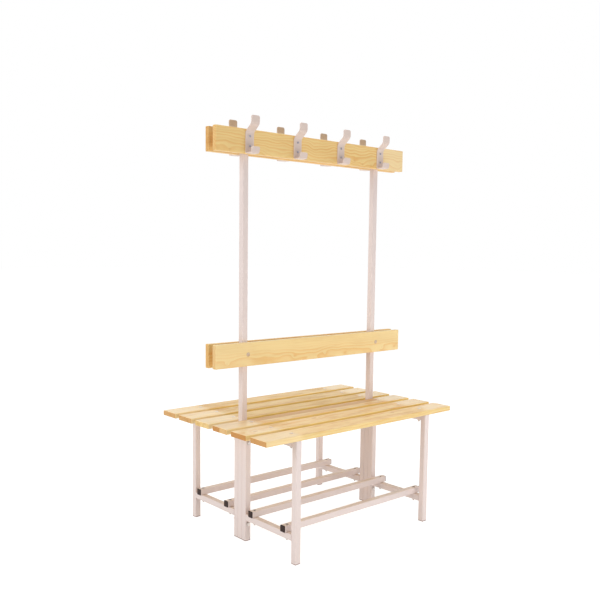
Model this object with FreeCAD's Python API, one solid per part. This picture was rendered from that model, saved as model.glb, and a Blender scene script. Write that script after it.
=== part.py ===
import FreeCAD, Part
import math
import os

# Double-sided changing-room bench, in millimetres.
# X runs along the slats (left is -X), Y across them (front is -Y), Z up from the floor.

# Whole bench
bench_length = 1000.0
bench_depth = 666.0

# Timber: planed pine with rounded edges
slats_per_side = 3
slat_gap = 25.0
slat_thickness = 20.0
board_width = 90.0
board_thickness = 20.0
timber_edge_radius = 3.0

# Heights above the floor
seat_height = 470.0
backrest_bottom = 680.0
hook_board_bottom = 1470.0
shelf_bar_bottom = 82.5

# Steel frames: welded square tube
tube_side = 25.0
tube_wall = 1.5
tube_corner_radius = 3.0
smallest_inside_radius = 0.5
frame_inset = 150.0
leg_setback = 1.0
upright_clearance = 0.5
upright_drop = 8.0

# Shoe rails: square tube lying on the shelf bars
rail_side = 25.0
rail_overhang = 7.0
inner_rail_gap = 29.0
outer_rail_gap = 25.0
rail_access_room = 0.75

# Plastic plugs in the tube ends
foot_flange = 3.0
plug_flange = 2.5
plug_stem = 10.0
plug_edge_bevel = 0.8
plug_clearance = 0.2

# Coat hooks: one bent flat strip each
hooks_per_side = 4
hook_width = 38.0
hook_thickness = 4.0
hook_reach = 39.0
hook_plate_height = 79.0
hook_rise = 27.0
hook_tip_height = 29.0
hook_lip_height = 24.0
hook_lip_reach = 42.0
hook_lip_lean = 5.0
hook_bend_radius = 20.0
hook_fold_radius = 5.0
hook_corner_radius = 7.0
hook_screw_edge = 1.0
hook_screw_spacing = 36.0

# Holes, and the dome-headed bolts of the seat and backrest
hole_clearance = 0.25
thread_clearance = 0.1
bolt_diameter = 6.0
bolt_tip = 4.0
dome_diameter = 16.0
dome_height = 3.2
nut_width = 10.0
nut_height = 5.0
cap_nut_dome = 4.5
cap_nut_room = 1.0
washer_diameter = 16.0
washer_thickness = 1.6

# Bolts of the rails, of the middle legs, and screws of the hooks
rail_bolt_head_diameter = 10.5
rail_bolt_head_height = 3.3
centre_bolt_diameter = 8.0
centre_bolt_tip = 5.0
centre_head_width = 13.0
centre_head_height = 5.3
centre_nut_height = 6.5
centre_bolt_below_seat_bar = 40.0
centre_bolt_below_shelf_bar = 15.0
hook_screw_diameter = 4.8
hook_screw_head_diameter = 8.5
hook_screw_head_height = 2.8
wood_screw_grip = 14.0
tube_screw_tip = 5.0

# Places worked out from the sizes above
V = FreeCAD.Vector
X_AXIS = V(1, 0, 0)
Y_AXIS = V(0, 1, 0)
Z_AXIS = V(0, 0, 1)
ORIGIN = V(0, 0, 0)
SAME_PLACE = 1e-6
FRONT = -1
REAR = 1
SIDES = (("front", FRONT), ("rear", REAR))
ENDS = (("left", -1), ("right", 1))
HEX_SIDES = 6

middle_gap = tube_side + 2 * upright_clearance
seat_depth = (bench_depth - middle_gap) / 2
slat_width = (seat_depth - (slats_per_side - 1) * slat_gap) / slats_per_side
slat_pitch = slat_width + slat_gap
slat_centres = [middle_gap / 2 + slat_width / 2 + k * slat_pitch for k in range(slats_per_side)]
seat_underside = seat_height - slat_thickness
seat_bar_bottom = seat_underside - tube_side
shelf_bar_top = shelf_bar_bottom + tube_side
frame_spacing = bench_length - 2 * frame_inset
frame_x = frame_spacing / 2
centre_leg_face = 1.5 * tube_side
inner_leg_y = tube_side
outer_leg_y = bench_depth / 2 - leg_setback - tube_side / 2
outer_leg_face = outer_leg_y - tube_side / 2
bar_length = outer_leg_face - centre_leg_face
rail_length = frame_spacing + tube_side + 2 * rail_overhang
rail_centres = (
    ("inner", centre_leg_face + inner_rail_gap + rail_side / 2),
    ("outer", outer_leg_face - outer_rail_gap - rail_side / 2),
)
board_inner_face = tube_side / 2
board_outer_face = board_inner_face + board_thickness
backrest_bolt_height = backrest_bottom + board_width / 2
upright_top = hook_board_bottom + board_width - upright_drop
centre_bolt_heights = (
    seat_bar_bottom - centre_bolt_below_seat_bar,
    shelf_bar_bottom - centre_bolt_below_shelf_bar,
)
hook_pitch = frame_spacing / (hooks_per_side - 1)
hook_places = [-frame_x + k * hook_pitch for k in range(hooks_per_side)]
upright_hooks = (0, hooks_per_side - 1)
hook_bend = math.atan2(hook_reach - hook_thickness, hook_rise)
hook_flat_top = hook_board_bottom + hook_plate_height - hook_bend_radius * math.tan(hook_bend / 2)
upper_screw_height = hook_flat_top - hook_screw_edge - hook_screw_head_diameter / 2
hook_screw_heights = (upper_screw_height, upper_screw_height - hook_screw_spacing)
bolt_hole = bolt_diameter + 2 * hole_clearance
centre_bolt_hole = centre_bolt_diameter + 2 * hole_clearance
hook_screw_hole = hook_screw_diameter + 2 * hole_clearance
rail_access_hole = rail_bolt_head_diameter + 2 * rail_access_room
inside_radius = max(tube_corner_radius - tube_wall, smallest_inside_radius)

parts = {}


def turned(shape, axis, degrees):
    """Copy of a shape turned about an axis through the origin."""
    copy = shape.copy()
    copy.rotate(ORIGIN, axis, degrees)
    return copy


def moved(shape, x, y, z):
    """Copy of a shape shifted by the given distances."""
    copy = shape.copy()
    copy.translate(V(x, y, z))
    return copy


def to_front(shape):
    """Copy of an upright shape laid down so that its top points to the front."""
    return turned(shape, X_AXIS, 90)


def to_rear(shape):
    """Copy of an upright shape laid down so that its top points to the rear."""
    return turned(shape, X_AXIS, -90)


def on_side(shape, side):
    """A shape placed for the front, or the same turned round the middle to the rear."""
    return shape if side == FRONT else turned(shape, Z_AXIS, 180)


def drilled(shape, diameter, start, end):
    """A shape with a round hole cut from one point to another."""
    run = end - start
    return shape.cut(Part.makeCylinder(diameter / 2, run.Length, start, run))


def rounded_square(side, radius):
    """Square face with rounded corners, centred in the XY plane."""
    half = side / 2
    flat = half - radius
    middle = flat + radius * math.sqrt(0.5)
    corner = Part.Arc(V(half, flat, 0), V(middle, middle, 0), V(flat, half, 0)).toShape()
    edge = Part.LineSegment(V(flat, half, 0), V(-flat, half, 0)).toShape()
    edges = [turned(piece, Z_AXIS, 90 * k) for k in range(4) for piece in (corner, edge)]
    return Part.Face(Part.Wire(edges))


def square_tube(side, length):
    """Hollow square tube standing on the origin."""
    outside = rounded_square(side, tube_corner_radius)
    inside = rounded_square(side - 2 * tube_wall, inside_radius)
    ring = outside.cut(inside).Faces[0]
    return ring.extrude(V(0, 0, length))


def tube_plug(side, flange):
    """End plug of a tube: its flange lies below the origin and its stem stands above it."""
    plate = rounded_square(side, tube_corner_radius).extrude(V(0, 0, -flange))
    rim = [edge for edge in plate.Edges if edge.BoundBox.ZMax < -flange / 2]
    plate = plate.makeChamfer(plug_edge_bevel, rim)
    stem_side = side - 2 * (tube_wall + plug_clearance)
    stem = rounded_square(stem_side, inside_radius).extrude(V(0, 0, plug_stem))
    return plate.fuse(stem)


def timber(width, thickness):
    """Planed board along X, lying on the origin, with every edge rounded."""
    board = Part.makeBox(bench_length, width, thickness, V(-bench_length / 2, -width / 2, 0))
    return board.makeFillet(timber_edge_radius, board.Edges)


def dome_bolt(length):
    """Dome-headed bolt: its head stands on the origin and its shank hangs below."""
    rim = dome_diameter / 2
    shank = bolt_diameter / 2
    ball = (rim ** 2 + dome_height ** 2) / (2 * dome_height)
    half_way = math.asin(rim / ball) / 2
    crown = V(ball * math.sin(half_way), 0, dome_height - ball * (1 - math.cos(half_way)))
    outline = [Part.Arc(V(0, 0, dome_height), crown, V(rim, 0, 0)).toShape()]
    corners = [V(rim, 0, 0), V(shank, 0, 0), V(shank, 0, -length), V(0, 0, -length), V(0, 0, dome_height)]
    outline += Part.makePolygon(corners).Edges
    return Part.Face(Part.Wire(outline)).revolve(ORIGIN, Z_AXIS, 360)


def headed_pin(head_diameter, head_height, diameter, length):
    """Round head with a rounded rim, standing on the origin, and a plain shank below it."""
    head = Part.makeCylinder(head_diameter / 2, head_height)
    rim = [edge for edge in head.Edges if edge.BoundBox.ZMin > head_height / 2]
    head = head.makeFillet(head_height / 2, rim)
    return head.fuse(Part.makeCylinder(diameter / 2, length, V(0, 0, -length)))


def hexagon(width, height):
    """Six-sided prism standing on the origin, measured across its flats."""
    corner = V(width / 2 / math.cos(math.pi / HEX_SIDES), 0, 0)
    turns = [FreeCAD.Rotation(Z_AXIS, 360 * k / HEX_SIDES) for k in range(HEX_SIDES + 1)]
    return Part.Face(Part.makePolygon([turn.multVec(corner) for turn in turns])).extrude(V(0, 0, height))


def hex_nut(width, height, diameter):
    """Hexagon nut standing on the origin, with a bore that clears its bolt."""
    bore = Part.makeCylinder(diameter / 2 + thread_clearance, height)
    return hexagon(width, height).cut(bore)


def cap_nut():
    """Hexagon nut with a closed dome, standing on the origin."""
    dome = Part.makeSphere(cap_nut_dome, V(0, 0, nut_height), Z_AXIS, 0, 90, 360)
    bore = Part.makeCylinder(bolt_diameter / 2 + thread_clearance, nut_height + cap_nut_room)
    return hexagon(nut_width, nut_height).fuse(dome).cut(bore)


def hex_bolt(length):
    """Hexagon-headed bolt: its head stands on the origin and its shank hangs below."""
    shank = Part.makeCylinder(centre_bolt_diameter / 2, length, V(0, 0, -length))
    return hexagon(centre_head_width, centre_head_height).fuse(shank)


def washer(hole):
    """Flat washer standing on the origin."""
    ring = Part.makeCylinder(washer_diameter / 2, washer_thickness)
    return drilled(ring, hole, ORIGIN, V(0, 0, washer_thickness))


def strip_side(path, radii, offset):
    """One side of a bent strip: the runs and bends of its centre line, moved over by an offset."""
    run_starts = []
    run_ends = []
    bends = []
    for before, corner, after, radius in zip(path, path[1:], path[2:], radii):
        into = (corner - before).normalize()
        out = (after - corner).normalize()
        half_turn = into.getAngle(out) / 2
        inward = (out - into).normalize()
        bend_centre = corner + inward * (radius / math.cos(half_turn))
        reach = radius * math.tan(half_turn)
        run_ends.append(corner - into * reach + X_AXIS.cross(into) * offset)
        bends.append(bend_centre - inward * radius + X_AXIS.cross((into + out).normalize()) * offset)
        run_starts.append(corner + out * reach + X_AXIS.cross(out) * offset)
    arcs = [Part.Arc(a, b, c).toShape() for a, b, c in zip(run_ends, bends, run_starts)]
    first = path[0] + X_AXIS.cross((path[1] - path[0]).normalize()) * offset
    last = path[-1] + X_AXIS.cross((path[-1] - path[-2]).normalize()) * offset
    runs = zip([first] + run_starts, run_ends + [last])
    lines = [Part.LineSegment(a, b).toShape() for a, b in runs if not a.isEqual(b, SAME_PLACE)]
    return arcs + lines, first, last


def crosses_tip(edge, ends):
    """Whether an edge runs through a strip's thickness, between the two sides' ends."""
    points = [V(0, vertex.Y, vertex.Z) for vertex in edge.Vertexes]
    hits = [any(point.isEqual(end, SAME_PLACE) for point in points) for end in ends]
    return all(hits)


def coat_hook():
    """Hook for the front: its plate lies on the plane Y = 0 and its lowest face at Z = 0."""
    middle = hook_thickness / 2
    near = -middle
    far = middle - hook_reach
    lip = middle - hook_lip_reach
    elbow = hook_plate_height + hook_rise
    path = [
        V(0, far, elbow + hook_tip_height),
        V(0, far, elbow),
        V(0, near, hook_plate_height),
        V(0, near, middle),
        V(0, lip + hook_lip_lean, middle),
        V(0, lip, hook_lip_height),
    ]
    radii = (hook_bend_radius, hook_bend_radius, hook_fold_radius, hook_fold_radius)
    outer, outer_first, outer_last = strip_side(path, radii, hook_thickness / 2)
    inner, inner_first, inner_last = strip_side(path, radii, -hook_thickness / 2)
    tips = [
        Part.LineSegment(outer_first, inner_first).toShape(),
        Part.LineSegment(outer_last, inner_last).toShape(),
    ]
    outline = Part.Wire(Part.sortEdges(outer + inner + tips)[0])
    strip = moved(Part.Face(outline).extrude(V(hook_width, 0, 0)), -hook_width / 2, 0, 0)
    tip_ends = ((outer_first, inner_first), (outer_last, inner_last))
    corners = [edge for edge in strip.Edges if any(crosses_tip(edge, ends) for ends in tip_ends)]
    return strip.makeFillet(hook_corner_radius, corners)


def add_seat():
    """Slats, numbered outwards from the middle, each drilled for a bolt over each frame."""
    for side_name, side in SIDES:
        for number, y in enumerate(slat_centres, 1):
            slat = moved(timber(slat_width, slat_thickness), 0, side * y, seat_underside)
            for _, end in ENDS:
                foot = V(end * frame_x, side * y, seat_underside)
                slat = drilled(slat, bolt_hole, foot, foot + Z_AXIS * slat_thickness)
            parts[f"seat_slat_{side_name}_{number}"] = slat


def standing_board(side, bottom):
    """Board on edge against one side of the uprights."""
    board = to_front(timber(board_width, board_thickness))
    return on_side(moved(board, 0, -board_inner_face, bottom + board_width / 2), side)


def add_backrest():
    """Two backrest boards, drilled for the bolts that pass through both and the uprights."""
    for side_name, side in SIDES:
        board = standing_board(side, backrest_bottom)
        for _, end in ENDS:
            inner = V(end * frame_x, side * board_inner_face, backrest_bolt_height)
            board = drilled(board, bolt_hole, inner, inner + Y_AXIS * side * board_thickness)
        parts[f"backrest_board_{side_name}"] = board


def add_hook_boards():
    """Two hook boards: through holes where a hook stands on an upright, blind ones between."""
    for side_name, side in SIDES:
        board = standing_board(side, hook_board_bottom)
        for number, x in enumerate(hook_places):
            depth = board_thickness if number in upright_hooks else wood_screw_grip
            for z in hook_screw_heights:
                outer = V(x, side * board_outer_face, z)
                board = drilled(board, hook_screw_hole, outer, outer - Y_AXIS * side * depth)
        parts[f"hook_board_{side_name}"] = board


def add_hooks():
    """Coat hooks along each hook board, drilled for their two screws."""
    hook = moved(coat_hook(), 0, -board_outer_face, hook_board_bottom)
    for z in hook_screw_heights:
        back = V(0, -board_outer_face, z)
        hook = drilled(hook, hook_screw_hole, back, back - Y_AXIS * hook_thickness)
    for side_name, side in SIDES:
        for number, x in enumerate(hook_places, 1):
            parts[f"coat_hook_{side_name}_{number}"] = moved(on_side(hook, side), x, 0, 0)


def add_uprights():
    """Uprights from the floor to the hook boards, drilled for every bolt and screw that crosses them."""
    holes = [(centre_bolt_hole, z) for z in centre_bolt_heights]
    holes += [(bolt_hole, backrest_bolt_height)]
    holes += [(hook_screw_hole, z) for z in hook_screw_heights]
    for end_name, end in ENDS:
        upright = moved(square_tube(tube_side, upright_top - foot_flange), end * frame_x, 0, foot_flange)
        for diameter, z in holes:
            front = V(end * frame_x, -board_inner_face, z)
            upright = drilled(upright, diameter, front, front + Y_AXIS * tube_side)
        parts[f"upright_{end_name}"] = upright


def add_half_frames():
    """Four welded half frames: outer leg, inner leg, seat bar and shelf bar."""
    leg = square_tube(tube_side, seat_underside - foot_flange)
    bar = to_rear(square_tube(tube_side, bar_length))
    for side_name, side in SIDES:
        for end_name, end in ENDS:
            x = end * frame_x
            outer_leg = moved(leg, x, side * outer_leg_y, foot_flange)
            inner_leg = moved(leg, x, side * inner_leg_y, foot_flange)
            for z in centre_bolt_heights:
                near = V(x, side * board_inner_face, z)
                inner_leg = drilled(inner_leg, centre_bolt_hole, near, near + Y_AXIS * side * tube_side)
            bar_start = centre_leg_face if side == REAR else -outer_leg_face
            seat_bar = moved(bar, x, bar_start, seat_bar_bottom + tube_side / 2)
            for y in slat_centres:
                foot = V(x, side * y, seat_bar_bottom)
                seat_bar = drilled(seat_bar, bolt_hole, foot, foot + Z_AXIS * tube_side)
            shelf_bar = moved(bar, x, bar_start, shelf_bar_bottom + tube_side / 2)
            for _, y in rail_centres:
                foot = V(x, side * y, shelf_bar_bottom)
                shelf_bar = drilled(shelf_bar, bolt_hole, foot, foot + Z_AXIS * tube_side)
            place = f"{side_name}_{end_name}"
            parts[f"{place}_outer_leg"] = outer_leg
            parts[f"{place}_inner_leg"] = inner_leg
            parts[f"{place}_seat_bar"] = seat_bar
            parts[f"{place}_shelf_bar"] = shelf_bar


def add_shoe_rails():
    """Shoe rails on the shelf bars, with a wide hole in the top that lets the bolt's head in."""
    rail = moved(turned(square_tube(rail_side, rail_length), Y_AXIS, 90), -rail_length / 2, 0, rail_side / 2)
    for _, end in ENDS:
        foot = V(end * frame_x, 0, 0)
        middle = foot + Z_AXIS * (rail_side / 2)
        rail = drilled(rail, bolt_hole, foot, middle)
        rail = drilled(rail, rail_access_hole, middle, foot + Z_AXIS * rail_side)
    for side_name, side in SIDES:
        for name, y in rail_centres:
            parts[f"shoe_rail_{side_name}_{name}"] = moved(rail, 0, side * y, shelf_bar_top)


def add_plugs():
    """Plastic plugs: feet under legs and uprights, and caps in rails and upright tops."""
    foot = moved(tube_plug(tube_side, foot_flange), 0, 0, foot_flange)
    cap = tube_plug(tube_side, plug_flange)
    rail_cap = tube_plug(rail_side, plug_flange)
    leg_feet = []
    upright_feet = []
    upright_caps = []
    rail_caps = []
    rail_axis_height = shelf_bar_top + rail_side / 2
    for _, end in ENDS:
        x = end * frame_x
        leg_feet += [moved(foot, x, side * y, 0) for _, side in SIDES for y in (inner_leg_y, outer_leg_y)]
        upright_feet.append(moved(foot, x, 0, 0))
        upright_caps.append(moved(turned(cap, X_AXIS, 180), x, 0, upright_top))
        end_cap = turned(rail_cap, Y_AXIS, -90 * end)
        for _, side in SIDES:
            for _, y in rail_centres:
                rail_caps.append(moved(end_cap, end * rail_length / 2, side * y, rail_axis_height))
    parts["leg_feet"] = Part.makeCompound(leg_feet)
    parts["upright_feet"] = Part.makeCompound(upright_feet)
    parts["upright_end_plugs"] = Part.makeCompound(upright_caps)
    parts["rail_end_plugs"] = Part.makeCompound(rail_caps)


def add_seat_fasteners():
    """Dome-headed bolts down through slats and seat bars, with nuts under the bars."""
    bolt = dome_bolt(slat_thickness + tube_side + nut_height + bolt_tip)
    nut = hex_nut(nut_width, nut_height, bolt_diameter)
    spots = [(end * frame_x, side * y) for _, end in ENDS for _, side in SIDES for y in slat_centres]
    parts["seat_bolts"] = Part.makeCompound([moved(bolt, x, y, seat_height) for x, y in spots])
    parts["seat_nuts"] = Part.makeCompound([moved(nut, x, y, seat_bar_bottom - nut_height) for x, y in spots])


def add_rail_fasteners():
    """Bolts that hold the shoe rails, with their heads on the rails' lower walls and nuts under the bars."""
    grip = tube_wall + tube_side + nut_height + bolt_tip
    bolt = headed_pin(rail_bolt_head_diameter, rail_bolt_head_height, bolt_diameter, grip)
    nut = hex_nut(nut_width, nut_height, bolt_diameter)
    spots = [(end * frame_x, side * y) for _, end in ENDS for _, side in SIDES for _, y in rail_centres]
    head_seat = shelf_bar_top + tube_wall
    nut_seat = shelf_bar_bottom - nut_height
    parts["rail_bolts"] = Part.makeCompound([moved(bolt, x, y, head_seat) for x, y in spots])
    parts["rail_nuts"] = Part.makeCompound([moved(nut, x, y, nut_seat) for x, y in spots])


def add_backrest_fasteners():
    """Bolts through both backrest boards and the upright between, with washers and cap nuts at the rear."""
    bolt = to_front(dome_bolt(2 * board_outer_face + washer_thickness + nut_height))
    ring = to_rear(washer(bolt_hole))
    nut = to_rear(cap_nut())
    z = backrest_bolt_height
    ends = [end * frame_x for _, end in ENDS]
    nut_seat = board_outer_face + washer_thickness
    parts["backrest_bolts"] = Part.makeCompound([moved(bolt, x, -board_outer_face, z) for x in ends])
    parts["backrest_washers"] = Part.makeCompound([moved(ring, x, board_outer_face, z) for x in ends])
    parts["backrest_cap_nuts"] = Part.makeCompound([moved(nut, x, nut_seat, z) for x in ends])


def add_centre_fasteners():
    """Bolts through the three tubes of each middle leg, with washers at both faces."""
    seat = centre_leg_face + washer_thickness
    bolt = to_front(hex_bolt(2 * seat + centre_nut_height + centre_bolt_tip))
    ring = to_front(washer(centre_bolt_hole))
    nut = to_rear(hex_nut(centre_head_width, centre_nut_height, centre_bolt_diameter))
    spots = [(end * frame_x, z) for _, end in ENDS for z in centre_bolt_heights]
    rings = [moved(on_side(ring, side), x, side * centre_leg_face, z) for x, z in spots for _, side in SIDES]
    parts["centre_bolts"] = Part.makeCompound([moved(bolt, x, -seat, z) for x, z in spots])
    parts["centre_washers"] = Part.makeCompound(rings)
    parts["centre_nuts"] = Part.makeCompound([moved(nut, x, seat, z) for x, z in spots])


def add_hook_screws():
    """Two screws a hook: long ones into the uprights, short ones into the boards."""
    long_grip = hook_thickness + board_thickness + tube_wall + tube_screw_tip
    short_grip = hook_thickness + wood_screw_grip
    long_places = [hook_places[number] for number in upright_hooks]
    short_places = [x for x in hook_places if x not in long_places]
    head_seat = -board_outer_face - hook_thickness
    for name, grip, places in (("long", long_grip, long_places), ("short", short_grip, short_places)):
        pin = headed_pin(hook_screw_head_diameter, hook_screw_head_height, hook_screw_diameter, grip)
        screws = []
        for z in hook_screw_heights:
            screw = moved(to_front(pin), 0, head_seat, z)
            screws += [moved(on_side(screw, side), x, 0, 0) for x in places for _, side in SIDES]
        parts[f"hook_screws_{name}"] = Part.makeCompound(screws)


add_seat()
add_backrest()
add_hook_boards()
add_hooks()
add_uprights()
add_half_frames()
add_shoe_rails()
add_plugs()
add_seat_fasteners()
add_rail_fasteners()
add_backrest_fasteners()
add_centre_fasteners()
add_hook_screws()

os.makedirs("parts", exist_ok=True)
for node, shape in parts.items():
    shape.exportStep(f"parts/{node}.step")
print(len(parts), "nodes")
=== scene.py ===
import math

import bmesh
import bpy
from bpy.props import FloatProperty, FloatVectorProperty, IntProperty, PointerProperty
from bpy.types import Operator, Panel, PropertyGroup
from mathutils import Matrix, Vector


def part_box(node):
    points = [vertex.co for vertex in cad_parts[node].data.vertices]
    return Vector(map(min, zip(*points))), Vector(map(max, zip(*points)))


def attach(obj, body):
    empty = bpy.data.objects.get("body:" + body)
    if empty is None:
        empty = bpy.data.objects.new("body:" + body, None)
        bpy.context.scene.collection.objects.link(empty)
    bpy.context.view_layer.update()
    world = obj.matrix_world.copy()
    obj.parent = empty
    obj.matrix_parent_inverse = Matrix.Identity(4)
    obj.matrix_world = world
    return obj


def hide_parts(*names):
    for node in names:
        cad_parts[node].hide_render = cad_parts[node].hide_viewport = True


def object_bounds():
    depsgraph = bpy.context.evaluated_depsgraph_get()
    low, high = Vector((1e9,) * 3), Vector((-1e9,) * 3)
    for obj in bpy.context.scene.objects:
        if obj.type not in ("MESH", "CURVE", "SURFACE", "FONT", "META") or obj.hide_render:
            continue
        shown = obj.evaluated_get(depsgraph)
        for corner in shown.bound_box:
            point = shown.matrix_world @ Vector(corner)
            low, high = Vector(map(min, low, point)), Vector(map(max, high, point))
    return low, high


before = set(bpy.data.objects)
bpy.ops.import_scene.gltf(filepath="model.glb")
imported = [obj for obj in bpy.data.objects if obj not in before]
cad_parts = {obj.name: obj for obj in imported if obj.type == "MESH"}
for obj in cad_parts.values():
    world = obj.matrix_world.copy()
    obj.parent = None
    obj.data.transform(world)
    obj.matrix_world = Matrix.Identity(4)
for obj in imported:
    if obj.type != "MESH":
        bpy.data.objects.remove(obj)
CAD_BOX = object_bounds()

bl_info = {
    "name": "Changing-room bench",
    "version": (1, 0, 0),
    "blender": (4, 5, 0),
    "location": "View3D > Sidebar > Bench",
    "description": "Finishes a double-sided changing-room bench of pine and coated steel tube",
    "category": "Object",
}

# Metres throughout. X runs along the slats, Y across them (front is -Y), Z up from the floor.
MM = 0.001
BODY = "root"
FRONT = Vector((0, -1, 0))
REAR = Vector((0, 1, 0))
UP = Vector((0, 0, 1))
DOWN = Vector((0, 0, -1))
RIGHT = Vector((1, 0, 0))
SAME_PLACE = 1e-6


def linear(code):
    """Scene-linear colour of a written one, such as F0D090."""
    channels = [int(code[k:k + 2], 16) / 255 for k in (0, 2, 4)]
    return tuple(c / 12.92 if c <= 0.04045 else ((c + 0.055) / 1.055) ** 2.4 for c in channels)


def nodes_named(*starts):
    """Names of the frame's nodes with any of these beginnings, in order."""
    return sorted(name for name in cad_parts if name.startswith(starts))


def centre(node):
    """Middle of a node's box."""
    low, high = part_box(node)
    return (low + high) / 2


def extent(node):
    """Size of a node's box along each axis."""
    low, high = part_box(node)
    return high - low


SLATS = nodes_named("seat_slat")
STANDING_BOARDS = nodes_named("backrest_board", "hook_board")
HOOKS = nodes_named("coat_hook")
RAILS = nodes_named("shoe_rail")
LEGS = [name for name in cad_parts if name.endswith("_leg")]
BARS = [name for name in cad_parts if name.endswith("_bar")]
UPRIGHTS = nodes_named("upright_left", "upright_right")
FRAME_ENDS = [centre(name).x for name in UPRIGHTS]
FRAME_X = max(FRAME_ENDS)


class PineSettings(PropertyGroup):
    """Sizes and colours of the timber."""

    edge_radius: FloatProperty(
        name="Edge radius", description="Rounding of the boards' edges", default=3 * MM, unit="LENGTH")
    edge_steps: IntProperty(
        name="Edge steps", description="Faces from a flat to the middle of a rounded edge", default=4)
    ring_spacing: FloatProperty(
        name="Ring spacing", description="Distance between growth rings", default=6.5 * MM, unit="LENGTH")
    early_wood: FloatVectorProperty(
        name="Early wood", description="Painted light wood between the ring lines", subtype="COLOR",
        default=linear("F8DA9C"))
    late_wood: FloatVectorProperty(
        name="Late wood", description="Darker wood of the ring lines", subtype="COLOR",
        default=linear("ECB468"))
    # Painted light: paler wood at the board ends stands in for the brighter light that they catch
    painted_light_wood: FloatVectorProperty(
        name="Painted light wood", description="Paler lengths at the ends of the boards", subtype="COLOR",
        default=linear("FFE4AF"))
    end_grain: FloatVectorProperty(
        name="End grain", description="Sawn ends of the boards", subtype="COLOR", default=linear("CA8C46"))
    knot: FloatVectorProperty(
        name="Knot", description="Hearts of the knots", subtype="COLOR", default=linear("C0803F"))
    # Painted light: warm bounce light between the slats, painted on their narrow sides
    side_painted_bounce: FloatVectorProperty(
        name="Side painted bounce", description="Deeper colour of the slats' narrow sides", subtype="COLOR",
        default=(1.06, 1.04, 0.74))
    varnish: FloatProperty(
        name="Varnish", description="Strength of the varnish on standing boards", default=0.32, min=0, max=1,
        subtype="FACTOR")
    worn_varnish: FloatProperty(
        name="Worn varnish", description="What is left of it where people sit", default=0.22, min=0, max=1,
        subtype="FACTOR")
    end_varnish: FloatProperty(
        name="End varnish", description="Strength of it on the ends of the slats", default=0.66, min=0, max=1,
        subtype="FACTOR")
    varnish_roughness: FloatProperty(
        name="Varnish roughness", description="Softness of its reflections", default=0.16, min=0, max=1,
        subtype="FACTOR")


class SteelSettings(PropertyGroup):
    """Colours of the coated steel, and sizes of the hooks."""

    frame_coat: FloatVectorProperty(
        name="Frame coat", description="Powder coat of the tubes", subtype="COLOR", default=linear("E9DAD5"))
    # Painted shade: the hooks have the frame's coat; this darker, tanner copy stands in for less light high
    # up and tan bounce light from the pine
    hook_coat: FloatVectorProperty(
        name="Hook coat", description="Powder coat of the hooks", subtype="COLOR", default=linear("E6D3C9"))
    # Painted shade: a darker, tan copy of the hook coat on the faces towards the board, for shade and tan
    # bounce light from the pine
    hook_inside_painted_shade: FloatVectorProperty(
        name="Hook inside", description="Thinner coat of the faces towards the board", subtype="COLOR",
        default=linear("DBC3A7"))
    # Painted shade and tan bounce light from the pine seat, laid on the tops of rails and bars
    top_painted_bounce: FloatVectorProperty(
        name="Top painted bounce", description="Tan dust on top of rails and bars", subtype="COLOR",
        default=(0.97, 0.95, 0.87))
    peel_size: FloatProperty(
        name="Peel size", description="Size of the coat's fine ripples", default=1.4 * MM, unit="LENGTH")
    hook_thickness: FloatProperty(
        name="Hook thickness", description="Thickness of the hooks' strip", default=4 * MM, unit="LENGTH")
    hook_reach: FloatProperty(
        name="Hook reach", description="How far the upper arm stands out from the board", default=39 * MM,
        unit="LENGTH")
    hook_plate: FloatProperty(
        name="Hook plate", description="Height of the straight part on the board", default=79 * MM,
        unit="LENGTH")
    hook_rise: FloatProperty(
        name="Hook rise", description="Height of the slanted part", default=27 * MM, unit="LENGTH")
    hook_lip: FloatProperty(
        name="Hook lip", description="Height of the lower lip", default=24 * MM, unit="LENGTH")
    lip_reach: FloatProperty(
        name="Lip reach", description="How far the lower lip stands out from the board", default=42 * MM,
        unit="LENGTH")
    lip_lean: FloatProperty(
        name="Lip lean", description="How far the lower lip leans out over its height", default=5 * MM,
        unit="LENGTH")
    hook_bend: FloatProperty(
        name="Hook bend", description="Radius of the upper bends", default=20 * MM, unit="LENGTH")
    hook_fold: FloatProperty(
        name="Hook fold", description="Radius of the lower bends", default=5 * MM, unit="LENGTH")
    hook_corner: FloatProperty(
        name="Hook corner", description="Rounding of the strip's corners", default=7 * MM, unit="LENGTH")
    hook_edge: FloatProperty(
        name="Hook edge", description="Softening of the strip's edges", default=0.9 * MM, unit="LENGTH")


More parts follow.
